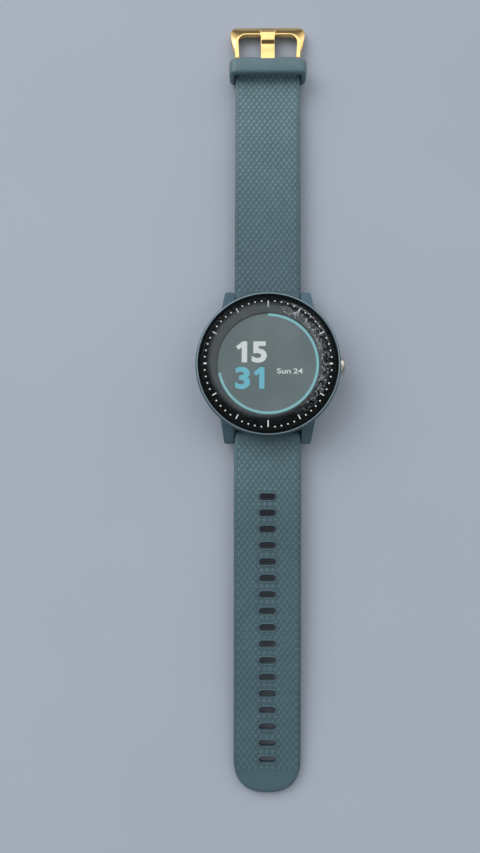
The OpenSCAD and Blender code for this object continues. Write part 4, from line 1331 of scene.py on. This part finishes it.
# %% Button cap
cap_r, STEM_SOCKET_R = cap_high[2] - BUTTON_Z, 0.82
dome = [
    (0, 0.02), (0.30, 0.03), (0.52, 0.07), (0.58, 0.10), (0.61, 0.04), (0.66, 0.05), (0.76, 0.15),
    (0.86, 0.36),
    (0.94, 0.68), (0.985, 1.05), (1, 1.35),
]
cap_outline = [(cap_r * share, cap_face - back) for share, back in dome] + [
    (cap_r, cap_back + 0.1), (cap_r - 0.1, cap_back), (STEM_SOCKET_R, cap_back),
    (STEM_SOCKET_R, cap_face - 1.1), (0, cap_face - 1.1),
]
button = turned("button_cap_shell", cap_outline, 96, "x", (0, 0, BUTTON_Z), smooth=26)
settle(button, "button", "steel", cap_steel, "button_cap")

# %% [markdown]
# ## Back of the head
#
# The rear cover is a turned plastic shell with a low hump round the sensor window, a pocket for the
# charging plug and four countersunk screws. The window is smoked glass: dark, glossy, and a little
# clearer over the three lights and the sensor.

# %% Rear cover
WINDOW_R = box_mm("sensor_window")[1][0]
cover_outline = [
    (6.5, 1.0), (WINDOW_R + 0.05, 1.0), (WINDOW_R + 0.05, 0.26), (WINDOW_R + 0.11, 0.2), (9.8, 0.2),
    (10.3, 0.23), (11.0, 0.36), (12.4, 0.82),
    (13.4, 1.14), (14.2, 1.30), (15.2, 1.38), (17.1, 1.50), (17.26, 1.56), (17.3, 1.66), (17.3, 2.6),
    (14.2, 2.6), (14.2, 3.9),
    (13.0, 3.9), (13.0, 2.2), (6.5, 2.2),
]
cover = turned("rear_cover_shell", cover_outline, 160, smooth=26)
PORT_Y = 11.4
cuts = [block(-3.5, 3.5, -PORT_Y - 1.2, -PORT_Y + 1.2, -1, 1.4)]
cuts += [disc(0.47, -1, 3, (i - 1.5) * 1.6, -PORT_Y, 32) for i in range(4)]
cuts += [disc(0.65, -1, 3, x, y) for x, y in posts] + [disc(1.15, -1, 2.1, x, y) for x, y in posts]
SEAL_IN, SEAL_OUT = 14.03 - 0.28, 15.5
cuts += [turned("groove", [(SEAL_IN, 2.72), (SEAL_OUT, 2.72), (SEAL_OUT, 3.28), (SEAL_IN, 3.28)], 96)]
carve(cover, cuts, smooth=26)
cover_plastic = polymer("cover_plastic", tint(40, 44, 48), 0.48)
settle(cover, "case", "cover_plastic", cover_plastic, "rear_cover")

# %% Sensor window
window_outline = [
    (0, 0.0), (WINDOW_R - 0.35, 0.0), (WINDOW_R - 0.12, 0.05), (WINDOW_R, 0.18), (WINDOW_R, 1.2), (0, 1.2),
]
window = turned("sensor_window_glass", window_outline, 128)


def smoked_glass():
    f = Finish("smoked_window")
    x, y, _ = f.axes()
    radius = from_axis(x, y)
    ring = f.step(radius, 2.0, 2.3) * (1.0 - f.step(radius, 5.2, 5.5))
    smear = f.noise(4.0, 3.0)
    base = f.mix(smear, (0.006, 0.007, 0.009, 1), (0.012, 0.014, 0.018, 1))
    return f.surface(Base_Color=base, Roughness=0.06 + smear * 0.08, Alpha=0.94 - ring * 0.20, IOR=1.6)


settle(window, "case", "window", smoked_glass(), "sensor_window")

# %% [markdown]
# ## Pieces inside
#
# The stack inside keeps its CAD shapes: they are flat stampings, boards and turned parts, and their
# shape is right as it is. Each gets its own finish, drawn from what such a piece is made of:
# rolled steel, moulded black plastic, solder-masked board with copper tracks, foam, rubber, copper
# on film, and the printed sleeve of a battery.

# %% Metals
def metal(name, colour, rough, stretch=(1, 1, 1), size=0.6):
    f = Finish(name)
    lines = f.noise(size, 3.0, stretch=stretch)
    spots = f.noise(3.0, 2.0, seed=5.0)
    base = f.mix(spots, scaled(colour, 0.85), colour)
    return f.surface(
        Base_Color=base, Metallic=1.0, Roughness=rough + lines * 0.12, Normal=f.bump(lines, 0.003),
    )


rolled_steel = metal("rolled_steel", tint(200, 203, 208), 0.24, (1, 12, 1))
turned_steel = metal("turned_steel", tint(190, 192, 196), 0.18, (12, 1, 1))
spring_wire = metal("spring_wire", tint(176, 176, 172), 0.20, size=0.3)
contact_gold = metal("contact_gold", tint(236, 200, 120), 0.16, size=0.3)
weight_metal = metal("weight_metal", tint(120, 118, 116), 0.38, size=0.5)
copper_film = metal("copper_film", tint(206, 138, 96), 0.30, (1, 6, 1))


# %% Plastics, rubber and foam
def dull(name, colour, rough, size, depth, light=1.25):
    f = Finish(name)
    grain = f.noise(size, 3.0)
    patch = f.noise(size * 9, 2.0, seed=6.0)
    base = f.mix(f.step(patch, 0.35, 0.65), colour, scaled(colour, light))
    return f.surface(Base_Color=base, Roughness=rough + grain * 0.12, Normal=f.bump(grain, depth))


black_rubber = dull("black_rubber", tint(24, 25, 27), 0.60, 0.25, 0.008)
black_plastic = dull("black_plastic", tint(30, 31, 34), 0.40, 0.20, 0.005)
frame_plastic = dull("frame_plastic", tint(58, 60, 64), 0.45, 0.20, 0.006)
open_foam = dull("open_foam", tint(40, 41, 44), 0.85, 0.45, 0.08, 1.6)
ivory_plastic = dull("ivory_plastic", tint(222, 214, 192), 0.38, 0.25, 0.004, 1.05)
chip_black = dull("chip_black", tint(34, 35, 38), 0.36, 0.12, 0.004)


# %% Circuit board, battery sleeve and lights
def circuit(name):
    f = Finish(name)
    track = 1.0 - f.step(f.cells(1.3, "DISTANCE_TO_EDGE"), 0.05, 0.09)
    pads = 1.0 - f.step(f.cells(2.1), 0.10, 0.13)
    base = f.mix(track * 0.55, tint(18, 74, 52), tint(44, 120, 84))
    base = f.mix(pads, base, tint(226, 186, 104))
    return f.surface(
        Base_Color=base, Metallic=pads * 0.9, Roughness=0.34 - pads * 0.08, Normal=f.bump(track + pads, 0.02),
    )


def sleeve(name):
    f = Finish(name)
    crinkle = f.noise(2.4, 4.0)
    band = f.step(f.axes()[0], 2.0, 2.2)
    base = f.mix(band, tint(196, 200, 204), tint(70, 120, 168))
    return f.surface(
        Base_Color=base, Metallic=0.7 - band * 0.7, Roughness=0.28 + crinkle * 0.15,
        Normal=f.bump(crinkle, 0.05),
    )


def lights(name):
    f = Finish(name)
    x, y, _ = f.axes()
    led = f.step(from_axis(x, y), 1.8, 2.2)
    grain = f.noise(0.4, 2.0)
    base = f.mix(led, tint(20, 22, 26), tint(226, 232, 214))
    glow = f.mix(led, (0, 0, 0, 1), tint(60, 190, 90))
    return f.surface(Base_Color=base, Roughness=0.3 + grain * 0.1, Emission_Color=glow, Emission_Strength=0.4)


# %% [markdown]
# Three coil springs shorten when the button or a release pin is pushed. Each spring is copied from
# its CAD node and given its finish, and the end that stays still is found, but the copy stays
# rigid, so it can poke into the piece that pushes it.

# %% Springs copied from their CAD nodes
def springy(node, pusher, body, travel):
    low, high = box_mm(node)
    push_low, push_high = box_mm(pusher)
    still = 0 if push_low[0] + push_high[0] > low[0] + high[0] else 1
    anchor = [(low, high)[still][0] * MM] + [(low[k] + high[k]) / 2 * MM for k in (1, 2)]
    coil = linked(node + "_coil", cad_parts[node].data.copy())
    dress(coil.data, 40)
    settle(coil, body, "steel", spring_wire, node)
    1 - travel / (high[0] - low[0])
    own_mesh(coil)


springy("button_spring", "button_cap", "case", 0.7)
springy("upper_bar_spring", "upper_bar_plunger", "short_strap", 1.2)
springy("lower_bar_spring", "lower_bar_plunger", "long_strap", 1.2)

# %% Give every CAD node that still shows its finish
finishes = {
    rolled_steel: ("shield_can", "motor_can"),
    turned_steel: (
        "board_screws", "cover_screws", "button_stem", "button_clip",
        "upper_bar_tube", "upper_bar_plunger", "lower_bar_tube", "lower_bar_plunger",
    ),
    weight_metal: ("motor_weight",),
    contact_gold: ("charge_contacts",),
    copper_film: ("gps_antenna", "sensor_flex"),
    buckle_gold: ("buckle_bar",),
    circuit("solder_mask"): ("main_board", "sensor_board"),
    chip_black: ("board_chips",),
    black_rubber: ("lens_gasket", "rear_gasket", "button_orings"),
    black_plastic: ("contact_block", "switch_body"),
    frame_plastic: ("display_frame",),
    open_foam: ("battery_foam",),
    ivory_plastic: ("switch_plunger",),
    sleeve("battery_sleeve"): ("battery",),
    lights("sensor_lights"): ("sensor_leds",),
}
done = set()
for material, names in finishes.items():
    for name in names:
        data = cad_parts[name].data
        data.materials.clear()
        data.materials.append(material)
        done.add(name)
left = [name for name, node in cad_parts.items() if not node.hide_render and name not in done]
print("finished", len(done), "CAD nodes; without a finish:", left)

# %% [markdown]
# ## Table, light and camera
#
# The watch lies on a plain pale table. One large soft lamp stands to the left, beyond the buckle,
# and the sky is brighter beyond the buckle and darker straight overhead, as where someone stands
# over the table. That is what draws the dark band on the tongue's step and, with the reflection
# painted on the film, the gradient on the glass. The camera itself sees one plain pale tone behind
# the table instead of that sky. It looks nearly straight down from just below the head.

# %% Table
TABLE_HALF, TABLE_Z = 1.5, -0.00005
table_mesh = bpy.data.meshes.new("table")
corners = [(sx * TABLE_HALF, sy * TABLE_HALF, TABLE_Z) for sx, sy in ((-1, -1), (1, -1), (1, 1), (-1, 1))]
table_mesh.from_pydata(corners, [], [(0, 1, 2, 3)])
table = linked("table", table_mesh)
painted = Finish("pale_table")
tone = painted.mix(painted.noise(60.0, 2.0), tint(166, 174, 186), tint(172, 180, 192))
table_mesh.materials.append(painted.surface(Base_Color=tone, Roughness=0.9, Specular_IOR_Level=0.1))

# %% Sky
world = bpy.data.worlds.new("studio")
bpy.context.scene.world = world
world.use_nodes = True
sky = Nodes(world.node_tree)
world.node_tree.nodes.clear()
way = sky.node("ShaderNodeTexCoord", out="Generated")
parts = sky.node("ShaderNodeSeparateXYZ", values={0: way}).socket.node
toward, upward = Wire(sky, parts.outputs[1]), Wire(sky, parts.outputs[2])

bright_side = sky.step(toward, -0.30, 0.60) + sky.step(toward, 0.55, 0.70) * 0.40
bright_side = bright_side * (1.0 - sky.step(toward, 0.79, 0.96) * 0.97)
high_sky = sky.step(upward, 0.10, 0.70)
overhead = sky.step(upward, 0.90, 0.99)
level = (0.13 + high_sky * 0.43 + bright_side * 0.86) * (1.0 - overhead * 0.88)
shade = sky.node("ShaderNodeBackground", values={"Color": (0.96, 0.98, 1.0, 1), "Strength": level})
backdrop = sky.node("ShaderNodeBackground", values={"Color": tint(196, 203, 212), "Strength": 1.0})
seen = sky.node("ShaderNodeLightPath", out="Is Camera Ray")
whole = sky.node("ShaderNodeMixShader", values={0: seen, 1: shade, 2: backdrop})
sky.node("ShaderNodeOutputWorld", values={"Surface": whole})

# %% Lamp
soft = bpy.data.lights.new("window_light", "AREA")
soft.shape, soft.size, soft.size_y, soft.energy = "RECTANGLE", 0.9, 0.7, 4.0
lamp = linked("window_light", soft)
lamp.location = (-0.62, 0.50, 0.72)
lamp.rotation_euler = (-lamp.location).to_track_quat("-Z", "Y").to_euler()

# %% Camera and colour
camera_data = bpy.data.cameras.new("camera")
camera_data.sensor_width, camera_data.lens, camera_data.clip_start = 36, 30.39, 0.01
camera = linked("camera", camera_data)
camera.location = (-0.0052, -0.0355, 0.2239)
camera.rotation_euler = [math.radians(a) for a in (4.50, 0.82, 0.22)]
bpy.context.scene.camera = camera
bpy.context.scene.view_settings.view_transform = "Standard"
